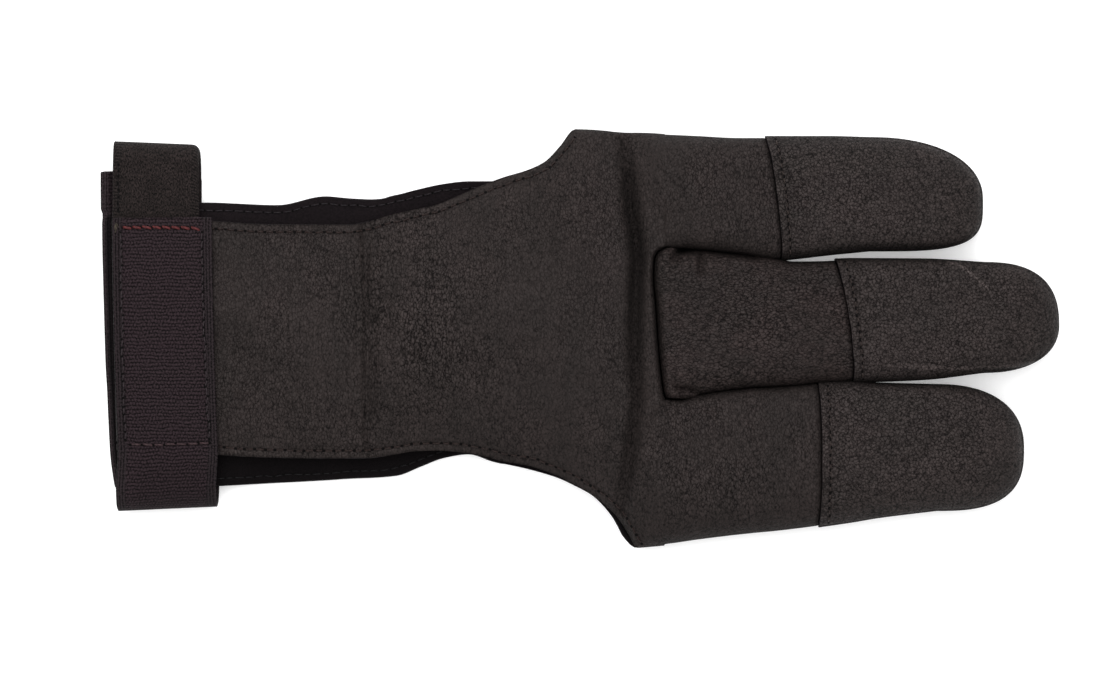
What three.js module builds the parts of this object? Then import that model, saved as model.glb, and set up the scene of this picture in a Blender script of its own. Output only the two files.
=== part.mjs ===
import * as THREE from 'three';

// A three-finger archery glove, lying on its back, in millimetres.
// X runs from the wrist to the fingertips, Y towards the thumb side, Z up.

// Hand and fingers, measured on the empty glove
const handLength = 134.25;
const knuckleWidth = 104;
const indexLength = 82;
const middleLength = 101;
const ringLength = 92.25;
const fingerHeight = 15.5;
const seamHeight = 6.5;
const crotchDepth = 10;
const webHeight = 5.4;
const webFade = 5;
const webLead = 8;
const pressed = 0.3;

// Leather walls and the tip caps sewn over them
const leather = 1.2;
const capLeather = 1.4;
const capOverlap = 7;
const capProud = 0.5;
const capStepLength = 2.4;

// The inset front of the middle finger
const notchHeight = 10.5;
const notchCorner = 2.5;
const notchDip = 6;
const insetRise = 5;
const insetGap = 0.6;

// Wrist band of elastic and the closure tape it fastens to
const bandWidth = 24.6;
const bandThickness = 1.5;
const bandDrop = 42.9;
const bandEnd = 41.7;
const bandSkew = 1.5;
const bandReturnSkew = 4;
const bandOverhang = 0.2;
const tapeWidth = 21.6;
const tapeThickness = 1.2;
const tapeReach = 49.2;
const tapeTuck = 6;
const tapeEnd = -2;
const tapeInset = 1.2;
const tapeSag = 0.8;
const foldDepth = 6;
const seatFade = 14;
const seatRamp = 12;
const clearance = 0.3;

// How round the sewn sides are, and how many facets the sections take
const sideRoundness = 2.6;
const archRoundness = 2;
const fingerFacets = 10;
const notchFacets = 6;
const tipFacets = 6;
const bandFacets = 4;
const levelBelow = 0.75;

// Worked out from the sizes above
const halfKnuckle = knuckleWidth / 2;
const seamTop = seamHeight + clearance / 2;
const seamBottom = seamHeight - clearance / 2;
const frontRise = fingerHeight - seamTop;
const tuck = capLeather + clearance - capProud;
const bandSeat = tapeThickness + clearance;
const backSeat = bandSeat + bandThickness + clearance;

const mix = (a, b, share) => a + (b - a) * share;
const clamp = (value, low, high) => Math.min(Math.max(value, low), high);
const smooth = (from, to, value) => THREE.MathUtils.smoothstep(value, from, to);
const table = (names, ...rows) =>
  rows.map((row) => Object.fromEntries(names.map((name, i) => [name, row[i]])));

// The value of a table's column at a place between two of its rows.
function read(rows, place, column) {
  const after = rows.findIndex((row) => row.at >= place);
  if (after === 0) return rows[0][column];
  if (after < 0) return rows[rows.length - 1][column];
  const [a, b] = [rows[after - 1], rows[after]];
  return mix(a[column], b[column], (place - a.at) / (b.at - a.at));
}

// Finger outlines: places are shares of the finger's length, sides and ridge of half the knuckle width.
// The last row is where the rounded tip starts. Tip powers say how square each side of the tip is.
const index = {
  length: indexLength,
  sides: table(
    ['at', 'thumb', 'ridge', 'little'],
    [0, 0.983, 0.714, 0.445],
    [0.125, 0.974, 0.7, 0.438],
    [0.259, 0.964, 0.685, 0.416],
    [0.412, 0.964, 0.671, 0.389],
    [0.534, 0.964, 0.666, 0.409],
    [0.655, 0.959, 0.666, 0.428],
  ),
  tip: { thumb: 2.2, little: 3.8 },
  inner: { thumb: false, little: true },
  cap: { at: 0.354, slant: 0.046, bow: 0.008 },
};
const middle = {
  length: middleLength,
  sides: table(
    ['at', 'thumb', 'ridge', 'little'],
    [0, 0.43, 0.079, -0.276],
    [0.101, 0.426, 0.079, -0.262],
    [0.235, 0.397, 0.079, -0.233],
    [0.334, 0.368, 0.079, -0.225],
    [0.483, 0.377, 0.079, -0.202],
    [0.666, 0.375, 0.07, -0.19],
    [0.814, 0.358, 0.065, -0.156],
  ),
  tip: { thumb: 2.5, little: 2.2 },
  inner: { thumb: true, little: true },
  cap: { at: 0.467, slant: 0.045, bow: 0.01 },
};
const ring = {
  length: ringLength,
  sides: table(
    ['at', 'thumb', 'ridge', 'little'],
    [0, -0.291, -0.632, -0.995],
    [0.079, -0.281, -0.632, -0.978],
    [0.144, -0.267, -0.632, -0.959],
    [0.274, -0.248, -0.623, -0.935],
    [0.404, -0.237, -0.594, -0.909],
    [0.599, -0.226, -0.56, -0.856],
    [0.762, -0.228, -0.526, -0.82],
  ),
  tip: { thumb: 2.3, little: 2.8 },
  inner: { thumb: true, little: false },
  cap: { at: 0.442, slant: 0.003, bow: 0.006 },
};

// Edges of the two big panels from the wrist to the finger roots, as shares of the hand's length
// and of half the knuckle width. Each ends on the sides of the outer fingers.
const rootRow = [1, index.sides[0].thumb, ring.sides[0].little];
const frontEdges = table(
  ['at', 'thumb', 'little'],
  [0, 0.576, -0.536],
  [0.097, 0.572, -0.546],
  [0.182, 0.562, -0.557],
  [0.283, 0.547, -0.571],
  [0.376, 0.547, -0.575],
  [0.432, 0.546, -0.575],
  [0.469, 0.563, -0.573],
  [0.51, 0.596, -0.56],
  [0.551, 0.619, -0.543],
  [0.592, 0.643, -0.539],
  [0.633, 0.686, -0.546],
  [0.674, 0.733, -0.562],
  [0.717, 0.775, -0.591],
  [0.762, 0.81, -0.611],
  [0.795, 0.851, -0.637],
  [0.823, 0.925, -0.666],
  [0.851, 1.007, -0.704],
  [0.879, 1.005, -0.745],
  [0.905, 1, -0.796],
  [0.93, 0.993, -0.861],
  [0.953, 0.99, -0.954],
  [0.965, 0.99, -1.007],
  [0.981, 0.988, -1.002],
  rootRow,
);
const backEdges = table(
  ['at', 'thumb', 'little'],
  [0, 0.642, -0.714],
  [0.16, 0.651, -0.709],
  [0.294, 0.642, -0.695],
  [0.384, 0.685, -0.683],
  [0.432, 0.675, -0.675],
  [0.473, 0.671, -0.671],
  [0.518, 0.695, -0.661],
  [0.562, 0.724, -0.618],
  [0.607, 0.748, -0.575],
  [0.652, 0.76, -0.558],
  [0.698, 0.76, -0.594],
  [0.764, 0.805, -0.632],
  [0.818, 0.897, -0.673],
  [0.851, 0.998, -0.712],
  [0.883, 1, -0.757],
  [0.905, 0.998, -0.81],
  [0.924, 0.993, -0.873],
  [0.942, 0.988, -0.959],
  [0.965, 0.988, -1.007],
  rootRow,
);

// Cross-sections of the hand. Lift and crown are shares of the rise from the seam to the top,
// a roll of 1 is a rolled, sewn side, and a rim is the back panel's edge as a share of the seam height.
const handSections = table(
  ['at', 'lift', 'crown', 'thumbRoll', 'littleRoll', 'thumbRim', 'littleRim'],
  [0, 0.33, 0.34, 0, 0, 0, 0],
  [0.2, 0.3, 0.36, 0, 0, 0, 0],
  [0.45, 0.12, 0.5, 0, 0, 0.15, 0.1],
  [0.7, 0.02, 0.7, 0.1, 0, 0.35, 0.15],
  [0.851, 0, 0.86, 1, 0.2, 1, 0.3],
  [0.965, 0, 0.94, 1, 1, 1, 1],
  [1, 0, 1, 1, 1, 1, 1],
);

// Folds across the front panel: depth and half width as shares of the rise, a crest being positive.
const folds = table(
  ['at', 'depth', 'width'],
  [0.462, -0.12, 0.75],
  [0.53, 0.07, 0.9],
  [0.72, 0.06, 1.1],
  [0.955, -0.24, 0.42],
);

const rolled = (v, power = sideRoundness) =>
  Math.pow(Math.max(0, 1 - Math.pow(Math.abs(v), power)), 1 / power);
const arched = (v) => 1 - Math.pow(Math.abs(v), archRoundness);
const sideOf = (v) => (v > 0 ? 'thumb' : 'little');
const fingerColumns = Array.from({ length: fingerFacets + 1 }, (_, j) =>
  Math.cos((Math.PI * j) / fingerFacets),
);

// A piece of leather: the points of its outer face in rows, its thickness laid inside them.
// Facing is 1 for a face that looks up, -1 for one that looks down. Cells left open are slits.
function leatherWall(rows, thickness, facing, isSlit = () => false) {
  const points = [];
  const known = new Map();
  const idOf = (point) => {
    const key = point.toArray().map((c) => Math.round(c * 1e4)).join();
    if (!known.has(key)) known.set(key, points.push(point) - 1);
    return known.get(key);
  };
  const ids = rows.map((row) => row.map((point) => (point ? idOf(point) : null)));

  const skin = [];
  const addFacet = (a, b, c) => {
    if (a !== b && b !== c && c !== a) skin.push(facing > 0 ? [a, b, c] : [a, c, b]);
  };
  for (let i = 0; i + 1 < ids.length; i++) {
    for (let j = 0; j + 1 < ids[i].length; j++) {
      const [a, b, c, d] = [ids[i][j], ids[i][j + 1], ids[i + 1][j + 1], ids[i + 1][j]];
      if (isSlit(i, j) || [a, b, c, d].includes(null)) continue;
      addFacet(a, b, c);
      addFacet(a, c, d);
    }
  }

  const normals = points.map(() => new THREE.Vector3());
  for (const facet of skin) {
    const [a, b, c] = facet.map((id) => points[id]);
    const normal = b.clone().sub(a).cross(c.clone().sub(a));
    facet.forEach((id) => normals[id].add(normal));
  }
  const edgeKey = (a, b) => `${a},${b}`;
  const edges = new Map();
  for (const [a, b, c] of skin) {
    for (const [from, to] of [[a, b], [b, c], [c, a]]) edges.set(edgeKey(from, to), [from, to]);
  }
  const rim = [...edges.values()].filter(([from, to]) => !edges.has(edgeKey(to, from)));

  // A rim that stands upright, as the sewn sides do, is cut level.
  for (const id of rim.flat()) {
    normals[id].normalize();
    if (Math.abs(normals[id].z) < levelBelow) normals[id].setZ(0);
  }
  const inside = points.map((point, id) => point.clone().addScaledVector(normals[id].normalize(), -thickness));

  const inner = points.length;
  const facets = skin.flatMap(([a, b, c]) => [[a, b, c], [inner + a, inner + c, inner + b]]);
  for (const [from, to] of rim) facets.push([to, from, inner + from], [to, inner + from, inner + to]);

  const geometry = new THREE.BufferGeometry().setFromPoints([...points, ...inside]);
  geometry.setIndex(facets.flat());
  geometry.computeVertexNormals();
  return geometry;
}

// Height of the sewn edge along a finger's side: the sides between fingers start high at the notch
// of the front panel, and low at the web of the back panel, and meet at the seam past the crotch.
function frontSide(finger, x, v) {
  if (!finger.inner[sideOf(v)]) return seamTop;
  const web = webHeight + leather + clearance;
  return x < crotchDepth
    ? mix(notchHeight, web, smooth(0, crotchDepth, x))
    : mix(web, seamTop, clamp((x - crotchDepth) / webFade, 0, 1));
}
function backSide(finger, x, v) {
  if (!finger.inner[sideOf(v)]) return seamBottom;
  return mix(webHeight, seamBottom, clamp((x - crotchDepth) / webFade, 0, 1));
}

// A point of a finger's outer face. v runs from 1 at the thumb side to -1, tip from 0 where the
// rounded end starts to 1 on its outline, and grow moves the face outwards.
function fingerPoint(finger, x, v, { front, grow = 0, tip = 0 }) {
  const straight = finger.sides[finger.sides.length - 1].at * finger.length;
  const place = Math.min(x, straight) / finger.length;
  const ridge = read(finger.sides, place, 'ridge');
  const half = Math.abs(read(finger.sides, place, sideOf(v)) - ridge) * halfKnuckle + grow;
  const power = finger.tip[sideOf(v)];
  const reach = tip * rolled(v, power);
  const ahead = reach * (finger.length - capProud - straight + grow);
  const out = Math.pow(Math.pow(Math.abs(v), power) + Math.pow(reach, power), 1 / power);
  const rise = rolled(out);
  const z = front
    ? mix(frontSide(finger, x, v), fingerHeight + grow, rise)
    : Math.max(0, mix(backSide(finger, x, v), -pressed, rise));
  return new THREE.Vector3(x + ahead, ridge * halfKnuckle + v * half, z);
}

// Where a tip cap's edge crosses the finger.
function capEdge(finger, v) {
  const { at, slant, bow } = finger.cap;
  return finger.length * (at - (slant * v) / 2 + bow * arched(v));
}

const shareAcross = (y, thumb, little) => (thumb - y) / (thumb - little);

// Height of the front panel over the hand, v running from 1 at its thumb edge to -1.
function palmHeight(place, v) {
  const roll = read(handSections, place, `${sideOf(v)}Roll`);
  const crown = read(handSections, place, 'crown') * mix(arched(v), rolled(v), roll);
  const fold = folds.reduce((sum, { at, depth, width }) => {
    const away = ((place - at) * handLength) / (width * frontRise);
    return sum + depth * Math.exp(-away * away) * (1 - Math.pow(v, 6));
  }, 0);
  return seamTop + frontRise * (read(handSections, place, 'lift') + crown + fold);
}

// Height of the back panel under the hand: flat, raised onto the band at the wrist, rolled up to the seams.
function backHeight(place, v) {
  const side = sideOf(v);
  const rim = read(handSections, place, `${side}Rim`) * seamBottom;
  const roll = read(handSections, place, `${side}Roll`);
  const seat = backSeat * (1 - smooth(bandWidth, bandWidth + seatFade, place * handLength));
  const curl = mix(Math.pow(v, 6), 1 - rolled(v), roll);
  return seat + Math.max(0, (rim + pressed) * curl - pressed);
}

// The front panel: the palm with the fronts of the index and ring fingers, and a notch for the middle one.
function frontPanel() {
  const onFinger = (finger, x, v, grow = 0) => fingerPoint(finger, x, v, { front: true, grow });
  const notchStart = index.sides[0].little;
  const notchEnd = ring.sides[0].thumb;
  const notch = Array.from({ length: notchFacets - 1 }, (_, k) => {
    const y = mix(notchStart, notchEnd, (k + 1) / notchFacets) * halfKnuckle;
    return new THREE.Vector3(0, y, notchHeight);
  });
  const roots = [
    ...fingerColumns.map((v) => onFinger(index, notchCorner, v)),
    ...notch,
    ...fingerColumns.map((v) => onFinger(ring, notchCorner, v)),
  ];
  const [first, last] = [roots[0].y, roots[roots.length - 1].y];

  const hand = frontEdges.map((edge) => {
    const reached = smooth(-notchDip, 0, handLength * (edge.at - 1));
    return roots.map((root) => {
      const share = shareAcross(root.y, first, last);
      const x = handLength * (edge.at - 1) + root.x * reached;
      const z = mix(palmHeight(edge.at, 1 - 2 * share), root.z, reached);
      const y = mix(edge.thumb, edge.little, share) * halfKnuckle;
      return new THREE.Vector3(x, edge.at === 1 ? root.y : y, z);
    });
  });

  const walk = [0.2, 0.45, 0.7];
  const fingerRow = (finger, step) =>
    fingerColumns.map((v) => {
      const edge = capEdge(finger, v);
      const places = [
        ...walk.map((share) => mix(notchCorner, edge - capStepLength, share)),
        edge - capStepLength,
        edge - clearance,
        edge + capOverlap,
      ];
      return onFinger(finger, places[step], v, step > walk.length ? -tuck : 0);
    });
  const fingers = Array.from({ length: walk.length + 3 }, (_, step) => [
    ...fingerRow(index, step),
    ...notch.map(() => null),
    ...fingerRow(ring, step),
  ]);
  return leatherWall([...hand, ...fingers], leather, 1);
}

// The inset front of the middle finger: it starts puffed up from the notch and ends under its cap.
function middleFingerFront() {
  const starts = [0, 0.08, 0.3, 0.6, 1];
  const walk = [0.3, 0.6, 0.85];
  const row = (placeOf, riseShare, grow) =>
    fingerColumns.map((v) => {
      const base = insetGap + notchCorner * Math.pow(Math.abs(v), 6);
      const point = fingerPoint(middle, placeOf(v, base), v, { front: true, grow });
      point.z = mix(notchHeight, point.z, riseShare);
      return point;
    });
  const rows = [
    ...starts.map((start) => row((v, base) => base + start * insetRise, rolled(1 - start, 2), 0)),
    ...walk.map((share) =>
      row((v, base) => mix(base + insetRise, capEdge(middle, v) - capStepLength, share), 1, 0),
    ),
    row((v) => capEdge(middle, v) - capStepLength, 1, 0),
    row((v) => capEdge(middle, v) - clearance, 1, -tuck),
    row((v) => capEdge(middle, v) + capOverlap, 1, -tuck),
  ];
  return leatherWall(rows, leather, 1);
}

// The back panel: one piece of leather under the hand and the three fingers, slit between them.
function backPanel() {
  const fingers = [index, middle, ring];
  const rowAt = (x, tip = 0) =>
    fingers.flatMap((finger) => fingerColumns.map((v) => fingerPoint(finger, x, v, { front: false, tip })));
  const roots = rowAt(0);
  const [first, last] = [roots[0].y, roots[roots.length - 1].y];
  const hand = backEdges.map((edge) => {
    const x = handLength * (edge.at - 1);
    return roots.map((root) => {
      const share = shareAcross(root.y, first, last);
      const flat = backHeight(edge.at, 1 - 2 * share);
      const y = mix(edge.thumb, edge.little, share) * halfKnuckle;
      return new THREE.Vector3(x, y, mix(flat, root.z, smooth(-webLead, crotchDepth, x)));
    });
  });
  const webs = [0.5, 1].map((share) => {
    const x = share * crotchDepth;
    return rowAt(x).map((point) => {
      const flat = backHeight(1, 1 - 2 * shareAcross(point.y, first, last));
      point.z = mix(Math.min(flat, point.z), point.z, smooth(-webLead, crotchDepth, x));
      return point;
    });
  });

  const walk = [0.08, 0.2, 0.45, 0.7, 1];
  const straight = walk.map((share) =>
    fingers.flatMap((finger) => {
      const end = finger.sides[finger.sides.length - 1].at * finger.length;
      return fingerColumns.map((v) => fingerPoint(finger, mix(crotchDepth, end, share), v, { front: false }));
    }),
  );
  const tips = Array.from({ length: tipFacets }, (_, k) => {
    const tip = Math.sin((Math.PI * (k + 1)) / (2 * tipFacets));
    return fingers.flatMap((finger) => {
      const end = finger.sides[finger.sides.length - 1].at * finger.length;
      return fingerColumns.map((v) => fingerPoint(finger, end, v, { front: false, tip }));
    });
  });
  const joined = hand.length + webs.length;
  const isSlit = (i, j) => i >= joined - 1 && j % (fingerFacets + 1) === fingerFacets;
  return leatherWall([...hand, ...webs, ...straight, ...tips], leather, -1, isSlit);
}

// A tip cap: heavier leather over the last joint, from its slanted edge round the fingertip.
function tipCap(finger) {
  const straight = finger.sides[finger.sides.length - 1].at * finger.length;
  const walk = [0, 0.05, 0.35, 0.7, 1];
  const body = walk.map((share) =>
    fingerColumns.map((v) =>
      fingerPoint(finger, mix(capEdge(finger, v), straight, share), v, { front: true, grow: capProud }),
    ),
  );
  const tips = Array.from({ length: tipFacets }, (_, k) => {
    const tip = Math.sin((Math.PI * (k + 1)) / (2 * tipFacets));
    return fingerColumns.map((v) => fingerPoint(finger, straight, v, { front: true, grow: capProud, tip }));
  });
  return leatherWall([...body, ...tips], capLeather, 1);
}

// Height of the front panel's outer face at a place over the wrist.
function wristTop(x, y) {
  const place = clamp(x / handLength + 1, 0, 1);
  const thumb = read(frontEdges, place, 'thumb') * halfKnuckle;
  const little = read(frontEdges, place, 'little') * halfKnuckle;
  return palmHeight(place, clamp(1 - 2 * shareAcross(y, thumb, little), -1, 1));
}

// The fold where a band turns from its upper run to its lower one, as stations from top to bottom.
function foldStations(upper, lower, depth, outwards, count) {
  return Array.from({ length: count }, (_, k) => {
    const turn = (Math.PI * (k + 1)) / (count + 1);
    return {
      y: upper.y + outwards * depth * Math.sin(turn),
      z: mix(upper.z, lower.z, (1 - Math.cos(turn)) / 2),
    };
  });
}

// The elastic band: sewn across the wrist on the front panel, round the little-finger side,
// and back under the glove to the closure tape.
function elasticBand() {
  const start = -handLength - bandOverhang;
  const top = read(frontEdges, 0, 'thumb') * halfKnuckle;
  const littleEdge = read(frontEdges, 0, 'little') * halfKnuckle;
  const turnY = -bandDrop + foldDepth;
  const over = clearance + bandThickness;
  const seat = (y) => bandSeat * smooth(tapeEnd - seatRamp, tapeEnd - seatRamp / 4, y);
  const shares = Array.from({ length: bandFacets + 1 }, (_, k) => k / bandFacets);

  const columns = shares.map((share) => {
    const x = start + bandWidth * share;
    const upper = { y: turnY, z: wristTop(x, littleEdge) + over };
    const lower = { y: turnY, z: seat(turnY) };
    const patch = Array.from({ length: 9 }, (_, k) => {
      const y = mix(top, littleEdge, k / 8);
      return { x: x - bandSkew * (1 - k / 8), y, z: wristTop(x, y) + over };
    });
    const fold = foldStations(upper, lower, foldDepth, -1, 7).map((p) => ({ ...p, x }));
    const back = Array.from({ length: 11 }, (_, k) => {
      const y = mix(turnY, bandEnd, k / 10);
      return { x: x - bandReturnSkew * (k / 10), y, z: seat(y) };
    });
    return [...patch, { ...upper, x }, ...fold, ...back];
  });
  const rows = columns[0].map((_, i) =>
    columns.map((column) => new THREE.Vector3(column[i].x, column[i].y, column[i].z)),
  );
  return leatherWall(rows, bandThickness, -1);
}

// The closure tape: from under the front panel's thumb edge, round the thumb side, and back
// beneath the band, which it grips.
function closureTape() {
  const start = -handLength + tapeInset - bandSkew;
  const edge = read(frontEdges, 0, 'thumb') * halfKnuckle;
  const turnY = tapeReach - foldDepth;
  const under = leather + clearance;
  const shares = Array.from({ length: bandFacets + 1 }, (_, k) => k / bandFacets);

  const columns = shares.map((share) => {
    const x = start + tapeWidth * share;
    const level = wristTop(x, edge) - under;
    const tucked = [tapeTuck, tapeTuck / 2, 0].map((inside) => ({
      y: edge - inside,
      z: wristTop(x, edge - inside) - under,
    }));
    const upper = { y: turnY, z: level - tapeSag };
    const fold = foldStations(upper, { y: turnY, z: 0 }, foldDepth, 1, 7);
    const back = Array.from({ length: 7 }, (_, k) => ({ y: mix(turnY, tapeEnd, k / 6), z: 0 }));
    return [...tucked, upper, ...fold, ...back].map((p) => new THREE.Vector3(x, p.y, p.z));
  });
  const rows = columns[0].map((_, i) => columns.map((column) => column[i]));
  return leatherWall(rows, tapeThickness, 1);
}

const dress = (color, roughness) =>
  new THREE.MeshStandardMaterial({ color, roughness, metalness: 0, side: THREE.DoubleSide });
const pieces = {
  front_panel: [frontPanel(), dress(0x362f2e, 0.62)],
  middle_finger_front: [middleFingerFront(), dress(0x332d2c, 0.62)],
  back_panel: [backPanel(), dress(0x2c2727, 0.7)],
  index_tip_cap: [tipCap(index), dress(0x36322f, 0.55)],
  middle_tip_cap: [tipCap(middle), dress(0x36322f, 0.55)],
  ring_tip_cap: [tipCap(ring), dress(0x36322f, 0.55)],
  elastic_band: [elasticBand(), dress(0x2f292b, 0.9)],
  closure_tape: [closureTape(), dress(0x2a2524, 0.95)],
};

const glove = new THREE.Group();
for (const [name, [geometry, material]] of Object.entries(pieces)) {
  const piece = new THREE.Mesh(geometry, material);
  piece.name = name;
  glove.add(piece);
}

// The origin is under the middle of the glove's box.
const box = new THREE.Box3().setFromObject(glove);
const centre = box.getCenter(new THREE.Vector3());
glove.position.set(-centre.x, -centre.y, -box.min.z);

export default glove;
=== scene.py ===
import math

import bpy
import numpy as np
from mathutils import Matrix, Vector, noise
from mathutils.bvhtree import BVHTree


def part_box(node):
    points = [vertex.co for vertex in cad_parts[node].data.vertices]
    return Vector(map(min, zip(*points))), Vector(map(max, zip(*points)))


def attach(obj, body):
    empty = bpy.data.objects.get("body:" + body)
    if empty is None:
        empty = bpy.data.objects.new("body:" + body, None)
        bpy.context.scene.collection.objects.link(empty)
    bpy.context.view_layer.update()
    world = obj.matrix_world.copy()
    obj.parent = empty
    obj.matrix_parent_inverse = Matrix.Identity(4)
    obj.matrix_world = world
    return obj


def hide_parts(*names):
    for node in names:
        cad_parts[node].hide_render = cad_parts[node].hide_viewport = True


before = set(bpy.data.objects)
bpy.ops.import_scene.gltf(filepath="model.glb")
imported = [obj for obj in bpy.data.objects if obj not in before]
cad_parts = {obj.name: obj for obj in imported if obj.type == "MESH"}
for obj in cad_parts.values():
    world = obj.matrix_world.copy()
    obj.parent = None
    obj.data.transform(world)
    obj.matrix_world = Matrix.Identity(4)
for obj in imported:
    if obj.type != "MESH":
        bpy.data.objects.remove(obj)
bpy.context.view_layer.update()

MM = 0.001


# Camera, floor and light.
# The glove was photographed from straight above with a long lens. The frame is 1110 pixels wide
# at a quarter of a millimetre a pixel, and the picture's middle lies just left of the glove's.
PHOTO_WIDTH = 1110 * 0.25 * MM
PHOTO_MIDDLE = (-6.27 * MM, -1.0 * MM)
PHOTO_LEVEL = 7 * MM
LENS_MM = 135
SENSOR_MM = 36

lens = bpy.data.cameras.new("lens")
lens.lens = LENS_MM
lens.sensor_width = SENSOR_MM
lens.clip_start = 0.01
camera = bpy.data.objects.new("camera", lens)
bpy.context.scene.collection.objects.link(camera)
camera.location = (*PHOTO_MIDDLE, PHOTO_LEVEL + PHOTO_WIDTH * LENS_MM / SENSOR_MM)
bpy.context.scene.camera = camera
bpy.context.scene.view_settings.view_transform = "Standard"


def linear(colour):
    """An sRGB hex colour as linear RGBA."""
    channels = [int(colour[i : i + 2], 16) / 255 for i in (1, 3, 5)]
    return [c / 12.92 if c <= 0.04045 else ((c + 0.055) / 1.055) ** 2.4 for c in channels] + [1.0]


def softbox(name, place, size, power, target=(0, 0, 0.01)):
    """A square diffused lamp that looks at the glove."""
    lamp = bpy.data.lights.new(name, "AREA")
    lamp.size = size
    lamp.energy = power
    light = bpy.data.objects.new(name, lamp)
    bpy.context.scene.collection.objects.link(light)
    light.location = place
    light.rotation_euler = (Vector(target) - Vector(place)).to_track_quat("-Z", "Y").to_euler()
    return light


softbox("overhead_softbox", (-0.1, 0.22, 1.3), 1.4, 18)
softbox("thumb_side_softbox", (0.0, 1.0, 0.7), 0.6, 5.5)

world = bpy.data.worlds.new("studio")
world.use_nodes = True
world.node_tree.nodes["Background"].inputs["Color"].default_value = linear("#ffffff")
world.node_tree.nodes["Background"].inputs["Strength"].default_value = 0.75
bpy.context.scene.world = world


def add_node(tree, kind, settings=None, links=None):
    """Adds a shader node, sets its properties and inputs, and links inputs to outputs. A node
    given in an output's place stands for its first output."""
    node = tree.nodes.new("ShaderNode" + kind)
    for name, value in (settings or {}).items():
        if isinstance(name, str) and hasattr(node, name):
            setattr(node, name, value)
        else:
            node.inputs[name].default_value = value
    for name, source in (links or {}).items():
        output = source.outputs[0] if isinstance(source, bpy.types.Node) else source
        tree.links.new(output, node.inputs[name])
    return node


def new_material(name):
    """An empty material with its tree, and the shader that the finish is linked to."""
    material = bpy.data.materials.new(name)
    material.use_nodes = True
    tree = material.node_tree
    return material, tree, tree.nodes["Principled BSDF"]


def matt_white_paper():
    """Seamless background paper: matt white, and lit a little from below."""
    material, tree, shader = new_material("matt_white_paper")
    shader.inputs["Base Color"].default_value = linear("#f4f4f4")
    shader.inputs["Roughness"].default_value = 0.9
    shader.inputs["Specular IOR Level"].default_value = 0.1
    shader.inputs["Emission Color"].default_value = linear("#ffffff")
    shader.inputs["Emission Strength"].default_value = 0.25
    return material


PAPER_SIZE = 3.0
# The back panel's stitches reach a quarter of a millimetre below the glove.
PAPER_GAP = 0.3 * MM
half = PAPER_SIZE / 2
paper_corners = [(-half, -half, 0), (half, -half, 0), (half, half, 0), (-half, half, 0)]
paper_mesh = bpy.data.meshes.new("paper")
paper_mesh.from_pydata(paper_corners, [], [(0, 1, 2, 3)])
paper = bpy.data.objects.new("paper", paper_mesh)
paper.location.z = -PAPER_GAP
bpy.context.scene.collection.objects.link(paper)
paper_mesh.materials.append(matt_white_paper())


# Front panel.
# The palm side of the glove with the fronts of the index and ring fingers, cut from one piece
# of thin soft leather. Its free edges are cut raw and stitched, its finger sides sewn to the back.
HAND_LENGTH = 134.25
KNUCKLE_WIDTH = 104
HALF_KNUCKLE = KNUCKLE_WIDTH / 2
FINGER_HEIGHT = 15.5
HALF_FINGER = 15.5
SEAM_HEIGHT = 6.5
CROTCH = 10
WEB_HEIGHT = 5.4
WEB_FADE = 5
LEATHER = 1.2
SEAM_GAP = 0.1
SEAM_TOP = SEAM_HEIGHT + SEAM_GAP / 2
SEAM_BOTTOM = SEAM_HEIGHT - SEAM_GAP / 2
FRONT_RISE = FINGER_HEIGHT - SEAM_TOP
NOTCH_HEIGHT = 12.2
NOTCH_CORNER = 2.5
CAP_LEATHER = 1.4
CAP_PROUD = 0.5
CAP_OVERLAP = 7
ROUNDNESS = 2.6
FULL_ROUNDNESS = 4.5
# How far the back would sink into the floor if it weren't pressed flat.
PRESSED = 0.3


def table(names, *rows):
    """Columns by name, from rows written out."""
    return dict(zip(names.split(), np.array(rows, float).T))


def read(rows, column, at):
    """A column's value at places between the rows, on a curve that never overshoots them."""
    x, y = rows["at"], rows[column]
    step = np.diff(x)
    slope = np.diff(y) / step
    turn = np.zeros_like(y)
    before, after = slope[:-1], slope[1:]
    same_way = before * after > 0
    turn[1:-1][same_way] = 2 * before[same_way] * after[same_way] / (before + after)[same_way]
    turn[0], turn[-1] = slope[0], slope[-1]
    at = np.asarray(at, float)
    i = np.clip(np.searchsorted(x, at) - 1, 0, len(step) - 1)
    h = step[i]
    t = np.clip((at - x[i]) / h, 0, 1)
    start = (1 + 2 * t) * (1 - t) ** 2 * y[i] + t * (1 - t) ** 2 * h * turn[i]
    return start + t**2 * (3 - 2 * t) * y[i + 1] + t**2 * (t - 1) * h * turn[i + 1]


def smooth(start, end, value):
    """Eases from 0 at one value to 1 at another, which may be the smaller one."""
    t = np.clip((value - start) / (end - start), 0, 1)
    return t * t * (3 - 2 * t)


def mix(a, b, share):
    return a + (b - a) * share


def rolled(v, power=ROUNDNESS):
    """Height of a section with rolled sides: 1 in the middle, 0 at v = 1 and -1."""
    return np.clip(1 - np.abs(v) ** power, 0, 1) ** (1 / power)


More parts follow.
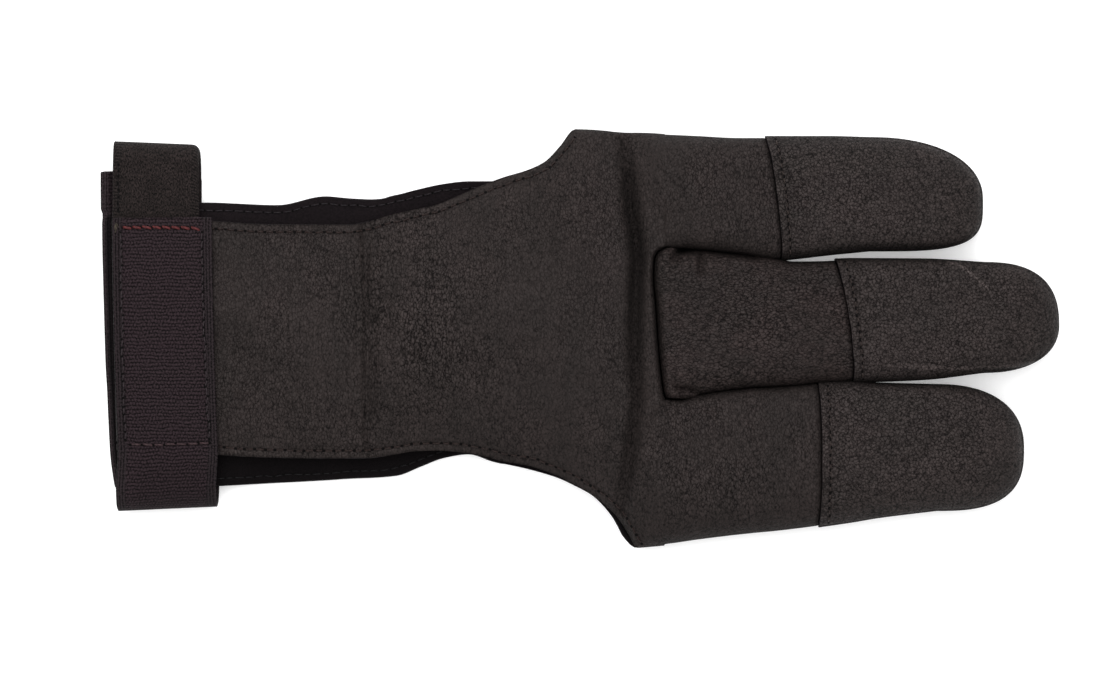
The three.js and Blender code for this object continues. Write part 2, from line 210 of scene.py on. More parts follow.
class Finger:
    """A finger's outline. Places are shares of its length, sides and ridge of half the knuckles."""

    def __init__(self, length, sides, tip_powers, inner_sides, cap):
        self.length = length
        self.sides = sides
        self.straight = sides["at"][-1] * length
        self.thumb_power, self.little_power = tip_powers
        self.inner_thumb, self.inner_little = inner_sides
        self.cap_at, self.cap_slant, self.cap_bow = cap

    def cap_edge(self, v):
        """Where the tip cap's edge crosses the finger."""
        return self.length * (self.cap_at - self.cap_slant * v / 2 + self.cap_bow * (1 - v**2))

    def side_height(self, x, v, front):
        """Height of the sewn edge: between fingers it comes down from the notch, or up from the web."""
        inner = np.where(v > 0, self.inner_thumb, self.inner_little)
        past = np.clip((x - CROTCH) / WEB_FADE, 0, 1)
        if front:
            web = WEB_HEIGHT + LEATHER
            between = np.where(
                x < CROTCH, mix(NOTCH_HEIGHT, web, smooth(0, CROTCH, x)), mix(web, SEAM_TOP, past)
            )
            return np.where(inner, between, SEAM_TOP)
        return np.where(inner, mix(WEB_HEIGHT, SEAM_BOTTOM, past), SEAM_BOTTOM)

    def skin(self, x, v, front, grow=0.0, tip=0.0):
        """Points of the outer face. v is 1 at the thumb side and -1 at the other, tip runs from 0
        where the rounded end starts to 1 on its outline, and grow moves the face outwards."""
        x, v, grow, tip = np.broadcast_arrays(*(np.asarray(a, float) for a in (x, v, grow, tip)))
        place = np.minimum(x, self.straight) / self.length
        ridge = read(self.sides, "ridge", place)
        side = np.where(v > 0, read(self.sides, "thumb", place), read(self.sides, "little", place))
        half_width = np.abs(side - ridge) * HALF_KNUCKLE + grow
        power = np.where(v > 0, self.thumb_power, self.little_power)
        reach = tip * np.clip(1 - np.abs(v) ** power, 0, 1) ** (1 / power)
        ahead = reach * (self.length - CAP_PROUD - self.straight + grow)
        out = (np.abs(v) ** power + reach**power) ** (1 / power)
        if front:
            inner = np.where(v > 0, self.inner_thumb, self.inner_little)
            sideways = np.abs(v) ** power / np.maximum(out**power, 1e-9)
            roundness = mix(ROUNDNESS, FULL_ROUNDNESS, inner * smooth(0, 0.55, np.abs(v)) * sideways)
            z = mix(self.side_height(x, v, True), FINGER_HEIGHT + grow, rolled(out, roundness))
        else:
            z = np.maximum(0, mix(self.side_height(x, v, False), -PRESSED, rolled(out)))
        return np.stack([x + ahead, ridge * HALF_KNUCKLE + v * half_width, z], axis=-1)


SIDES = "at thumb ridge little"
index_finger = Finger(
    82,
    table(
        SIDES,
        [0, 0.983, 0.714, 0.44],
        [0.125, 0.974, 0.7, 0.428],
        [0.259, 0.964, 0.685, 0.406],
        [0.37, 0.964, 0.676, 0.3805],
        [0.412, 0.964, 0.671, 0.387],
        [0.534, 0.964, 0.666, 0.409],
        [0.655, 0.959, 0.666, 0.428],
    ),
    (2.2, 3.8),
    (False, True),
    (0.361, 0.046, 0.008),
)
middle_finger = Finger(
    101,
    table(
        SIDES,
        [0, 0.436, 0.079, -0.284],
        [0.06, 0.432, 0.079, -0.29],
        [0.101, 0.426, 0.079, -0.264],
        [0.235, 0.4, 0.079, -0.235],
        [0.3, 0.3815, 0.079, -0.2295],
        [0.334, 0.37, 0.079, -0.2265],
        [0.4, 0.371, 0.079, -0.214],
        [0.483, 0.377, 0.079, -0.205],
        [0.666, 0.375, 0.07, -0.19],
        [0.814, 0.358, 0.065, -0.156],
    ),
    (2.5, 2.2),
    (True, True),
    (0.467, 0.045, 0.01),
)
ring_finger = Finger(
    92.25,
    table(
        SIDES,
        [0, -0.288, -0.632, -0.995],
        [0.065, -0.294, -0.632, -0.98],
        [0.11, -0.269, -0.632, -0.968],
        [0.257, -0.2365, -0.623, -0.937],
        [0.328, -0.23, -0.61, -0.925],
        [0.404, -0.2195, -0.594, -0.909],
        [0.44, -0.2145, -0.588, -0.9],
        [0.54, -0.211, -0.572, -0.874],
        [0.599, -0.22, -0.56, -0.856],
        [0.762, -0.228, -0.526, -0.82],
    ),
    (2.3, 2.8),
    (True, False),
    (0.442, 0.003, 0.006),
)

# Places are shares of the hand's length from the wrist, sides are shares of half the knuckles.
front_edges = table(
    "at thumb little",
    [0, 0.576, -0.536],
    [0.097, 0.572, -0.546],
    [0.182, 0.562, -0.557],
    [0.283, 0.547, -0.571],
    [0.376, 0.547, -0.575],
    [0.432, 0.546, -0.575],
    [0.469, 0.563, -0.573],
    [0.51, 0.596, -0.56],
    [0.551, 0.619, -0.543],
    [0.592, 0.643, -0.539],
    [0.633, 0.686, -0.546],
    [0.674, 0.733, -0.562],
    [0.717, 0.775, -0.591],
    [0.762, 0.81, -0.611],
    [0.795, 0.851, -0.637],
    [0.823, 0.925, -0.666],
    [0.851, 1.007, -0.704],
    [0.879, 1.005, -0.745],
    [0.905, 1, -0.796],
    [0.93, 0.993, -0.861],
    [0.953, 0.99, -0.954],
    [0.965, 0.99, -1.007],
    [0.981, 0.988, -1.002],
    [1, 0.983, -0.995],
)
hand_sections = table(
    "at lift crown thumb_roll little_roll thumb_rim little_rim",
    [0, 0.33, 0.34, 0, 0, 0, 0],
    [0.2, 0.3, 0.36, 0, 0, 0, 0],
    [0.45, 0.12, 0.5, 0, 0, 0.15, 0.1],
    [0.7, 0.02, 0.7, 0.1, 0, 0.35, 0.15],
    [0.851, 0, 0.86, 1, 0.2, 1, 0.3],
    [0.965, 0, 0.94, 1, 1, 1, 1],
    [1, 0, 1, 1, 1, 1, 1],
)

# Soft folds right across the palm: place, depth and half width as shares of the rise to the top.
palm_folds = table("at depth width", [0.462, -0.12, 0.75], [0.53, 0.07, 0.9], [0.72, 0.06, 1.1])


def by_side(rows, name, place, v):
    """A table's value for the side of the hand that each point is on."""
    return np.where(v > 0, read(rows, "thumb_" + name, place), read(rows, "little_" + name, place))


def palm_height(place, v):
    """Height of the front panel over the hand, v running from 1 at its thumb edge to -1."""
    profile = mix(1 - v**2, rolled(v), by_side(hand_sections, "roll", place, v))
    height = read(hand_sections, "lift", place) + read(hand_sections, "crown", place) * profile
    for at, depth, width in zip(*palm_folds.values()):
        away = (place - at) * HAND_LENGTH / (width * FRONT_RISE)
        height = height + depth * np.exp(-(away**2)) * (1 - v**6)
    return SEAM_TOP + FRONT_RISE * height


def even_columns(count):
    """Values of v that stand at even distances round a finger's section."""
    v = np.cos(np.linspace(0, math.pi, 801))
    across, up = HALF_FINGER * v, FRONT_RISE * rolled(v, FULL_ROUNDNESS)
    length = np.concatenate([[0], np.cumsum(np.hypot(np.diff(across), np.diff(up)))])
    return np.interp(np.linspace(0, length[-1], count + 1), length, v)


def crease(points, path, depth, width, fade=3.0):
    """How far a crease along a path lowers points seen from above. It fades out at its ends."""
    best = np.full(points.shape[:-1], 1e9)
    ease = np.zeros(points.shape[:-1])
    path = np.array([(*place, 1)[:3] for place in path], float)
    line, share = path[:, :2], path[:, 2]
    steps = np.linalg.norm(np.diff(line, axis=0), axis=1)
    total, done = steps.sum(), 0.0
    for k, length in enumerate(steps):
        run = line[k + 1] - line[k]
        t = np.clip(((points[..., :2] - line[k]) @ run) / length**2, 0, 1)
        gap = np.linalg.norm(points[..., :2] - line[k] - t[..., None] * run, axis=-1)
        ends = np.minimum(done + t * length, total - done - t * length)
        here = mix(share[k], share[k + 1], t) * smooth(0, fade, ends + 0.35 * fade)
        ease = np.where(gap < best, here, ease)
        best = np.minimum(best, gap)
        done += length
    return depth * np.exp(-((best / width) ** 2)) * ease


def rumple(points, scale, height, seed=0.0, stretch=(1, 1, 1)):
    """Uneven leather: smooth noise of a size in millimetres, as a height for each point."""
    flat = points.reshape(-1, 3) / scale * np.array(stretch) + seed
    values = [0.0 if math.isnan(p[0]) else noise.noise(Vector(p)) for p in flat]
    return height * np.array(values).reshape(points.shape[:-1])


glove_shift = Vector((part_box("back_panel")[1].x - (middle_finger.length - CAP_PROUD) * MM, 0, 0))


# How far a rim bulges as a share of the thickness, how steep a face is where its rim is squared
# off, the angle of an edge that stays sharp, and the slopes between which painted shade darkens a side.
RIM_BULGE = 0.2
STEEP_FACE = 0.75
SHARP_EDGE = math.radians(55)
SIDE_SLOPES = (0.88, 0.3)


def leather_wall(
    name, rows, thickness, facing, slit=None, shade=None, inner_shade=None,
    weave=None, grain=None, side_shade=0.0,
):
    """A wall of leather or cloth: its outer face through rows of points, its inner face below it,
    and a rounded rim. Points that are not a number leave it open, and so does a slit. Faces carry
    a material index: 0 outside, 1 inside and on the rim. Shade darkens or lightens the colour point
    by point with painted light and shade and with rubbed marks, side_shade paints shade on the steep
    sides, grain makes the leather's grain bolder, and weave gives each point's place in the cloth in
    millimetres."""
    count = rows.shape[0] * rows.shape[1]
    flat = rows.reshape(-1, 3)
    thick = np.broadcast_to(thickness, rows.shape[:2]).reshape(-1)
    exists = ~np.isnan(flat[:, 0])
    keys = np.round(np.where(exists[:, None], flat, 1e5) * 1e3).astype(np.int64)
    _, first, merged = np.unique(keys, axis=0, return_index=True, return_inverse=True)
    ids = first[merged.reshape(-1)].reshape(rows.shape[:2])
    here = exists.reshape(rows.shape[:2])

    corners = np.stack([ids[:-1, :-1], ids[:-1, 1:], ids[1:, 1:], ids[1:, :-1]], axis=-1)
    whole = here[:-1, :-1] & here[:-1, 1:] & here[1:, 1:] & here[1:, :-1]
    if slit is not None:
        whole &= ~slit
    quads = corners[whole]
    if facing < 0:
        quads = quads[:, ::-1]
    skin = []
    for quad in quads.tolist():
        kept = [q for k, q in enumerate(quad) if q != quad[k - 1]]
        if len(set(kept)) == len(kept) and len(kept) > 2:
            skin.append(kept)

    normals = np.zeros((count, 3))
    triangles = np.array([[f[0], f[k], f[k + 1]] for f in skin for k in range(1, len(f) - 1)])
    a, b, c = (flat[triangles[:, k]] for k in range(3))
    for k in range(3):
        np.add.at(normals, triangles[:, k], np.cross(b - a, c - a))
    lengths = np.linalg.norm(normals, axis=1)
    normals /= np.where(lengths > 0, lengths, 1)[:, None]
    level = normals[:, 2].copy()

    edges = {(f[k], f[(k + 1) % len(f)]) for f in skin for k in range(len(f))}
    rim = sorted((a, b) for a, b in edges if (b, a) not in edges)
    outwards = np.zeros((count, 3))
    for a, b in rim:
        side = np.cross(flat[b] - flat[a], normals[a] + normals[b])
        outwards[a] += side
        outwards[b] += side
    for i in sorted({a for edge in rim for a in edge}):
        outwards[i] /= max(np.linalg.norm(outwards[i]), 1e-6)
        if abs(normals[i, 2]) < STEEP_FACE:
            normals[i, 2] = 0
            normals[i] /= max(np.linalg.norm(normals[i]), 1e-6)

    inside = flat - normals * thick[:, None]
    middle = (flat + inside) / 2 + outwards * RIM_BULGE * thick[:, None]
    vertices = np.concatenate([flat, inside, middle])
    faces = skin + [[count + i for i in reversed(f)] for f in skin]
    for a, b in rim:
        faces.append([b, a, 2 * count + a, 2 * count + b])
        faces.append([2 * count + b, 2 * count + a, count + a, count + b])
    used = np.zeros(len(vertices), bool)
    used[np.fromiter((i for f in faces for i in f), int)] = True
    renumber = np.cumsum(used) - 1
    mesh = bpy.data.meshes.new(name)
    placed = vertices[used] * MM + np.array(glove_shift)
    mesh.from_pydata(placed.tolist(), [], [[int(renumber[i]) for i in f] for f in faces])
    index = np.ones(len(faces), np.int32)
    index[: len(skin)] = 0
    mesh.polygons.foreach_set("material_index", index)
    mesh.polygons.foreach_set("use_smooth", np.ones(len(faces), bool))
    mesh.set_sharp_from_angle(angle=SHARP_EDGE)
    outer = np.ones(count) if shade is None else shade.reshape(-1)
    # Painted shade on the steep sides.
    outer = outer * (1 - side_shade * smooth(*SIDE_SLOPES, np.abs(level)))
    inner = np.ones(count) if inner_shade is None else inner_shade.reshape(-1)
    tone = np.concatenate([outer, inner, inner])[used]
    mesh.attributes.new("shade", "FLOAT", "POINT").data.foreach_set("value", tone)
    bold = np.ones(count) if grain is None else grain.reshape(-1)
    mesh.attributes.new("grain", "FLOAT", "POINT").data.foreach_set("value", np.tile(bold, 3)[used])
    if weave is not None:
        cloth = np.tile(weave.reshape(-1, 2), (3, 1))[used]
        corner_points = np.empty(len(mesh.loops), np.int32)
        mesh.loops.foreach_get("vertex_index", corner_points)
        mesh.uv_layers.new(name="weave").data.foreach_set("uv", cloth[corner_points].reshape(-1))
    piece = bpy.data.objects.new(name, mesh)
    bpy.context.scene.collection.objects.link(piece)
    return piece


def dress(piece, materials, node):
    """Gives a piece its materials, and puts it in the place of its CAD node."""
    for material in materials:
        piece.data.materials.append(material)
    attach(piece, "root")
    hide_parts(node)


def finish(tree, shader, colour, depth, height, roughness):
    """Darkens a colour by its depth, from 0 to 1, and by the shade that the mesh carries, painted
    light and shade with some rubbed marks, and gives the shader that colour, the height in
    millimetres and the roughness."""
    shade = add_node(tree, "Attribute", {"attribute_name": "shade"}).outputs["Fac"]
    share = add_node(tree, "Math", {"operation": "MULTIPLY"}, {0: depth, 1: shade})
    shaded = add_node(tree, "VectorMath", {"operation": "SCALE"}, {0: colour, "Scale": share})
    bump = add_node(tree, "Bump", {"Strength": 1.0, "Distance": MM}, {"Height": height})
    for name, node in (("Base Color", shaded), ("Roughness", roughness), ("Normal", bump)):
        tree.links.new(node.outputs[0], shader.inputs[name])


def object_millimetres(tree, stretch=(1, 1, 1)):
    """The place on the glove in millimetres, drawn out where the grain runs one way."""
    place = add_node(tree, "TexCoord").outputs["Object"]
    return add_node(tree, "Mapping", {"Scale": [1 / (MM * s) for s in stretch]}, {"Vector": place})


# A range whose ends are eased: inputs 1 and 2 are its limits, 3 and 4 what these become.
EASED = {"interpolation_type": "SMOOTHSTEP"}
# How far apart the long wrinkles are, in cells of the grain.
LONG_WRINKLE = 3.4


def grained_leather(
    name, dark, light, cell, relief, crevice, roughness, stretch=(1, 1, 1), patchy=0.3
):
    """Drum-dyed leather with its own grain: pebbles about a cell wide between fine dark crevices
    that come and go, in plates between longer wrinkles. The eye gets a dull, dry, speckled
    brown-black. Cell and relief are millimetres, crevice is how dark the low places are, and
    patchy how bold the grain stays in the smoothest places. Real pebbles, of 0.3 to 0.5 mm, are
    too fine to show, so the cells are drawn at 0.66 to 0.85 mm."""
    material, tree, shader = new_material(name)
    place = object_millimetres(tree, stretch)

    # Pebbles and plates, on a place bent by fine noise so that no crevice runs straight.
    fine = add_node(tree, "TexNoise", {"Scale": 1 / 0.5, "Roughness": 0.7}, {"Vector": place})
    settings = {"operation": "MULTIPLY_ADD", 1: (1.1 * cell,) * 3}
    bent = add_node(tree, "VectorMath", settings, {0: fine.outputs["Color"], 2: place})
    settings = {"feature": "DISTANCE_TO_EDGE", "Scale": 1 / cell}
    pebbles = add_node(tree, "TexVoronoi", settings, {"Vector": bent})
    settings = {"feature": "DISTANCE_TO_EDGE", "Scale": 1 / (LONG_WRINKLE * cell)}
    plates = add_node(tree, "TexVoronoi", settings, {"Vector": bent})
    edge = add_node(tree, "Math", {"operation": "MULTIPLY_ADD", 1: 0.25}, {0: fine, 2: pebbles})
    crevices = add_node(tree, "MapRange", {**EASED, 1: 0.1, 2: 0.27, 3: 1, 4: 0}, {0: edge})
    folds = add_node(tree, "MapRange", {**EASED, 1: 0, 2: 0.1, 3: 0.42, 4: 0}, {0: plates})
    crack = add_node(tree, "Math", {"operation": "ADD"}, {0: crevices, 1: folds})
    pores = add_node(
        tree, "TexNoise", {"Scale": 1 / 0.62, "Detail": 1, "Roughness": 0.6}, {"Vector": place}
    )
    pits = add_node(tree, "Math", {"operation": "SUBTRACT", 1: 0.5}, {0: pores})
    level = add_node(tree, "Math", {"operation": "SUBTRACT", 0: 0.49}, {1: crack})
    surface = add_node(tree, "Math", {"operation": "MULTIPLY_ADD", 1: 2.2}, {0: pits, 2: level})

    # The grain is bolder in some places than in others, by chance and as the mesh says.
    patch = add_node(tree, "TexNoise", {"Scale": 1 / 14}, {"Vector": place})
    by_chance = add_node(tree, "MapRange", {**EASED, 1: 0.4, 2: 0.6, 3: patchy, 4: 1}, {0: patch})
    chosen = add_node(tree, "Attribute", {"attribute_name": "grain"}).outputs["Fac"]
    grain = add_node(tree, "Math", {"operation": "MULTIPLY"}, {0: by_chance, 1: chosen})
    bold = add_node(tree, "Math", {"operation": "MULTIPLY"}, {0: surface, 1: grain})

    ripples = add_node(tree, "TexNoise", {"Scale": 1 / 2.6, "Roughness": 0.6}, {"Vector": place})
    uneven = add_node(tree, "Math", {"operation": "MULTIPLY_ADD", 1: 1.6}, {0: ripples, 2: bold})
    height = add_node(tree, "Math", {"operation": "MULTIPLY", 1: relief}, {0: uneven})
    tone = add_node(tree, "Math", {"operation": "MULTIPLY_ADD", 1: crevice, 2: 1}, {0: bold})
    depth = add_node(tree, "Math", {"operation": "MAXIMUM", 1: 0.3}, {0: tone})
    cloud = add_node(
        tree, "TexNoise", {"Scale": 1 / 9, "Detail": 4, "Roughness": 0.62}, {"Vector": place}
    )
    cloudy = add_node(tree, "MapRange", {**EASED, 1: 0.3, 2: 0.7}, {0: cloud})
    settings = {"data_type": "RGBA", 6: linear(dark), 7: linear(light)}
    colour = add_node(tree, "Mix", settings, {0: cloudy}).outputs[2]

    # Where the mesh carries painted shade, the leather is rough and has no gloss.
    shade = add_node(tree, "Attribute", {"attribute_name": "shade"}).outputs["Fac"]
    settings = {**EASED, 1: 0.55, 2: 1, 3: 0.95, 4: roughness}
    matt_in_shade = add_node(tree, "MapRange", settings, {0: shade})
    dull = add_node(tree, "Math", {"operation": "MULTIPLY_ADD", 1: -0.12}, {0: bold, 2: matt_in_shade})
    finish(tree, shader, colour, depth, height, dull)
    shader.inputs["IOR"].default_value = 1.45
    shader.inputs["Specular IOR Level"].default_value = 0.07
    return material


def suede(name, dark, light):
    """The flesh side of the leather: a fine nap brushed this way and that, with no gloss. The
    nap's fibres are far too fine to show, and are drawn at half a millimetre."""
    material, tree, shader = new_material(name)
    place = object_millimetres(tree)
    settings = {"Scale": 1 / 0.5, "Detail": 3, "Roughness": 0.6}
    nap = add_node(tree, "TexNoise", settings, {"Vector": place})
    brushed = add_node(tree, "TexNoise", {"Scale": 1 / 6, "Detail": 3}, {"Vector": place})
    settings = {"data_type": "RGBA", 6: linear(dark), 7: linear(light)}
    colour = add_node(tree, "Mix", settings, {0: brushed}).outputs[2]
    depth = add_node(tree, "MapRange", {**EASED, 1: 0.3, 2: 0.7, 3: 0.6, 4: 1.2}, {0: nap})
    height = add_node(tree, "Math", {"operation": "MULTIPLY", 1: 0.12}, {0: nap})
    dull = add_node(tree, "Math", {"operation": "MULTIPLY_ADD", 1: 0.1, 2: 0.85}, {0: nap})
    finish(tree, shader, colour, depth, height, dull)
    shader.inputs["Specular IOR Level"].default_value = 0.08
    return material


# Stitched rows and creases, in millimetres from the root of the middle finger. A crease is
# a line of places, each with its share of the depth, then the depth, half width and end fade.
STITCH_MARGIN = 1.9
# A stitched row's dent as a crease, and how much painted shade darkens it for each millimetre.
STITCH_DENT = (0.22, 0.5, 0.4)
STITCH_SHADE = 0.9
ROOT_CREASE = [
    (-8.0, 51, 0.3), (-7.4, 46.5, 0.55), (-6.7, 41, 0.8), (-6.4, 36, 0.95), (-6, 31.6, 1),
    (-5, 25.9, 1.1), (-4.4, 20, 1.15), (-4.9, 13, 1.1), (-5.1, 4, 0.95), (-5, -8, 0.85),
    (-4.5, -14.9, 0.75), (-5.5, -22.6, 0.75), (-6.5, -30.4, 0.75), (-7.6, -37, 0.6),
    (-8.4, -44, 0.3),
]
PANEL_CREASES = [
    (ROOT_CREASE, 2.9, 1.8, 1.0),
    ([(-73.6, 28.6), (-72.8, 14), (-72.3, 0), (-72.7, -14), (-72, -28.6)], 0.6, 0.5, 2.0),
    ([(-71.3, 26), (-71.7, 8), (-71, -8), (-71.4, -24)], 0.45, 0.4, 6.0),
    ([(-74.9, 20), (-74.3, 6), (-74.8, -8)], 0.3, 0.4, 5.0),
    ([(-69.8, 8), (-69.4, -6), (-70.1, -22)], 0.35, 0.4, 5.0),
    ([(-63, -3), (-57, -6.6), (-50, -9.4)], 0.28, 0.5, 3.0),
    ([(-64, -9), (-57, -12.2), (-48, -13.6)], 0.28, 0.5, 3.0),
    ([(-66, 2), (-61, -1.5), (-57, -3.4)], 0.3, 0.45, 3.0),
    ([(-65, 14), (-67, 4), (-65.4, -4)], 0.3, 0.45, 3.0),
    ([(-0.5, 24.6), (2.4, 28), (5.5, 31.5)], 0.35, 0.7, 2.0),
    ([(2.2, -16.2), (-0.5, -19.6), (-3, -23)], 0.5, 0.6, 2.0),
    ([(3.2, -16.8), (3.2, -20.5), (2, -25)], 0.55, 0.5, 2.5),
    ([(4.6, -16.4), (8, -18.6), (13.5, -20)], 0.45, 0.6, 2.5),
    ([(9, -16.5), (14, -17.6), (19, -17.4)], 0.3, 0.6, 2.5),
]
# Where the notch runs from the index finger's root, at 1, to the ring finger's, at 0.
notch_path = table(
    "at x",
    [0, 2.5],
    [0.02, 2.1],
    [0.07, 1.75],
    [0.13, 1.45],
    [0.35, 0.6],
    [0.62, -0.1],
    [0.8, -0.6],
    [0.91, -0.45],
    [0.965, 0.3],
    [0.99, 1.5],
    [1, 2.5],
)
NOTCH_START = 2.5
ROUND_OVER = 1.5
# How much painted shade darkens the steep sides of the panels and of the caps.
SIDE_SHADE = 0.22
CAP_SIDE_SHADE = 0.38
# Places where the palm is rubbed or bent: place, reach, how much bolder the grain, and how much
# darker with painted shade of the broad folds, lighter with a painted highlight where below nought.
PANEL_PATCHES = [
    (-57, 2, 13, 26, 0.6, -0.1),
    (-71, 0, 2.2, 34, 0.2, 0.1),
    (-66, -4, 7, 30, 0.1, 0.04),
    (-24, 0, 14, 40, -0.15, 0.0),
    (18, 37, 14, 12, 0.25, 0.0),
    (18, -32, 14, 14, 0.25, 0.0),
]
# Lines that change the colour and not the shape: how much, half width and end fade, as in a crease.
# The palm's free edges are rubbed lighter, their cut rims are darkened with painted shade, and a
# painted shadow lies at the foot of a cap.
RUBBED_EDGE = (0.12, 0.8, 12.0)
CUT_RIM_SHADE = (0.35, 0.4, 1.0)
CAP_FOOT_SHADOW = (0.5, 0.6, 0.5)
CAP_FOOT_AHEAD = 0.4
RUBBED_UP_TO = 0.68
RUBBED_MARGIN = 0.9
# Rows of the panel's points along the hand, closer where it creases: from, to, count.
PANEL_RUNS = [
    (-HAND_LENGTH, -77, 66), (-77, -68, 29), (-68, -46, 41), (-46, -11, 40), (-11, -2, 34),
    (-2, 0, 12),
]


def edge_line(edges, side, end, margin):
    """A line that runs a margin inside one of the hand's free edges, from the wrist to a place."""
    places = np.linspace(0, end, 90)
    line = np.stack([(places - 1) * HAND_LENGTH, read(edges, side, places) * HALF_KNUCKLE], axis=-1)
    run = np.gradient(line, axis=0)
    run /= np.linalg.norm(run, axis=1)[:, None]
    inwards = np.stack([run[:, 1], -run[:, 0]], axis=-1) * (1 if side == "thumb" else -1)
    return line + inwards * margin


def press(rows, creases, rows_of_stitches=(), darker=0.175):
    """Presses creases and stitched rows into a surface; returns the painted shade in the colour,
    which gets darker by a share for each millimetre of a crease, and by STITCH_SHADE for each
    millimetre of a stitched dent."""
    flat = np.nan_to_num(rows, nan=1e4)
    shade = np.ones(rows.shape[:2])
    for path, depth, width, fade in creases:
        lowered = crease(flat, path, depth, width, fade)
        rows[..., 2] -= lowered
        shade -= darker * np.clip(lowered, 0, 3.4)
    for line in rows_of_stitches:
        lowered = crease(flat, line, *STITCH_DENT)
        rows[..., 2] -= lowered
        shade -= STITCH_SHADE * lowered
    return shade


def unevenness(rows, seed, broad, small):
    """Gentle bumps over the leather, 15 mm and 4.5 mm across, fading out at its sewn edges."""
    free = smooth(SEAM_TOP, SEAM_TOP + 3, np.nan_to_num(rows[..., 2]))
    return (rumple(rows, 15, broad, seed) + rumple(rows, 4.5, small, seed + 4)) * free


def shaded_side(one, v, low):
    """Painted shade on the side of a finger that lies against the next one, where less light reaches.
    """
    return 1 - low * one.inner_little * smooth(0.82, 0.9, -v)


def up_to_cap(one, start, columns, count):
    """Rows over a finger from its root to the cap's edge, and on under the cap."""
    edge = one.cap_edge(columns)
    before = [mix(start, edge - 0.8, share) for share in np.linspace(0, 1, count)]
    after = [edge + step for step in (-0.5, -0.25, 0, 0.25, 0.6, 1.2, 2.4, 4.2, CAP_OVERLAP)]
    xs = np.stack(np.broadcast_arrays(*before, *after))
    tucked = -(CAP_LEATHER - CAP_PROUD + 0.15) * smooth(edge - 0.55, edge + 0.3, xs)
    return xs, one.skin(xs, np.broadcast_to(columns, xs.shape), True, grow=tucked)


def under_cap_edge(one):
    """The line just in front of a tip cap's edge, where a painted shadow darkens the leather."""
    v = np.linspace(0.97, -0.97, 40)
    return one.skin(one.cap_edge(v) - CAP_FOOT_AHEAD, v, True)[:, :2]


front_rows = [
    edge_line(front_edges, "thumb", 0.84, STITCH_MARGIN),
    edge_line(front_edges, "little", 0.962, STITCH_MARGIN),
]


def front_panel():
    """The palm from the wrist to the notch, and the fronts of the two fingers beside it."""
    columns = even_columns(46)
    index_root = index_finger.skin(NOTCH_START, columns, True)
    ring_root = ring_finger.skin(NOTCH_START, columns, True)
    share = np.linspace(1, 0, 42)[1:-1]
    notch_y = mix(ring_root[0, 1], index_root[-1, 1], share)
    notch_x = read(notch_path, "x", share)
    notch_root = np.stack([notch_x, notch_y, np.full_like(share, NOTCH_HEIGHT)], axis=-1)
    roots = np.concatenate([index_root, notch_root, ring_root])
    # The share of its drop that each column makes at the very end, which along the notch is all.
    at_index, at_ring = smooth(0.1, 0.55, -columns), smooth(0.1, 0.55, columns)
    turned = np.concatenate([at_index, np.ones(len(share)), at_ring])

    along = np.concatenate([np.linspace(*run)[:-1] for run in PANEL_RUNS] + [[0.0]])
    place = (along / HAND_LENGTH + 1)[:, None]
    across = ((roots[0, 1] - roots[:, 1]) / (roots[0, 1] - roots[-1, 1]))[None, :]
    thumb, little = read(front_edges, "thumb", place), read(front_edges, "little", place)
    y = (thumb * (1 - across) + little * across) * HALF_KNUCKLE
    x = along[:, None] + roots[:, 0] * smooth(-6, 0, along)[:, None]
    z = palm_height(place, 1 - 2 * across)
    to_edge = np.clip(-along[:, None] / ROUND_OVER, 0, 1)
    late = 1 - np.sqrt(1 - (1 - to_edge) ** 2)
    z = mix(z, roots[:, 2], mix(smooth(-5, 0, along)[:, None], late, turned))
    y[-1] = roots[:, 1]
    hand = np.stack([x, y, z], axis=-1)

    index_rows = up_to_cap(index_finger, NOTCH_START, columns, 40)[1][1:]
    ring_rows = up_to_cap(ring_finger, NOTCH_START, columns, 40)[1][1:]
    gap = np.full((len(index_rows), len(share), 3), np.nan)
    rows = np.concatenate([hand, np.concatenate([index_rows, gap, ring_rows], axis=1)])
    rows[..., 2] += unevenness(rows, 0.0, 0.7, 0.22)
    # Painted shade darkens the creases and the stitched dents.
    shade = press(rows, PANEL_CREASES, front_rows)
    flat = np.nan_to_num(rows, nan=1e4)
    # Lighter rubbed strips along the free edges, and painted shade on their cut rims.
    for side, end in (("thumb", 0.85), ("little", 0.965)):
        rubbed = edge_line(front_edges, side, RUBBED_UP_TO, RUBBED_MARGIN)
        shade += crease(flat, rubbed, *RUBBED_EDGE)
        shade -= crease(flat, edge_line(front_edges, side, end, 0.0), *CUT_RIM_SHADE)
    # A painted shadow in front of each cap's edge.
    for one in (index_finger, ring_finger):
        shade -= crease(flat, under_cap_edge(one), *CAP_FOOT_SHADOW)
    grain = np.ones(rows.shape[:2])
    # Bolder grain where the palm is rubbed or bent, painted shade on the broad folds and a painted
    # highlight where a patch is lighter.
    for x, y, reach_x, reach_y, bolder, darker in PANEL_PATCHES:
        near = np.exp(-(((flat[..., 0] - x) / reach_x) ** 2) - ((flat[..., 1] - y) / reach_y) ** 2)
        grain += bolder * near
        shade -= darker * near
    return leather_wall(
        "front_panel_leather", rows, LEATHER, 1, shade=shade, grain=grain, side_shade=SIDE_SHADE
    )


panel_leather = grained_leather(
    "fine_grain_leather", "#1f1b1a", "#241f1e", 0.66, 0.1, 0.85, 0.52, (1, 1.6, 1), 0.68
)
flesh_side = suede("suede_flesh_side", "#110d0f", "#171214")
panel = front_panel()
dress(panel, (panel_leather, flesh_side), "front_panel")


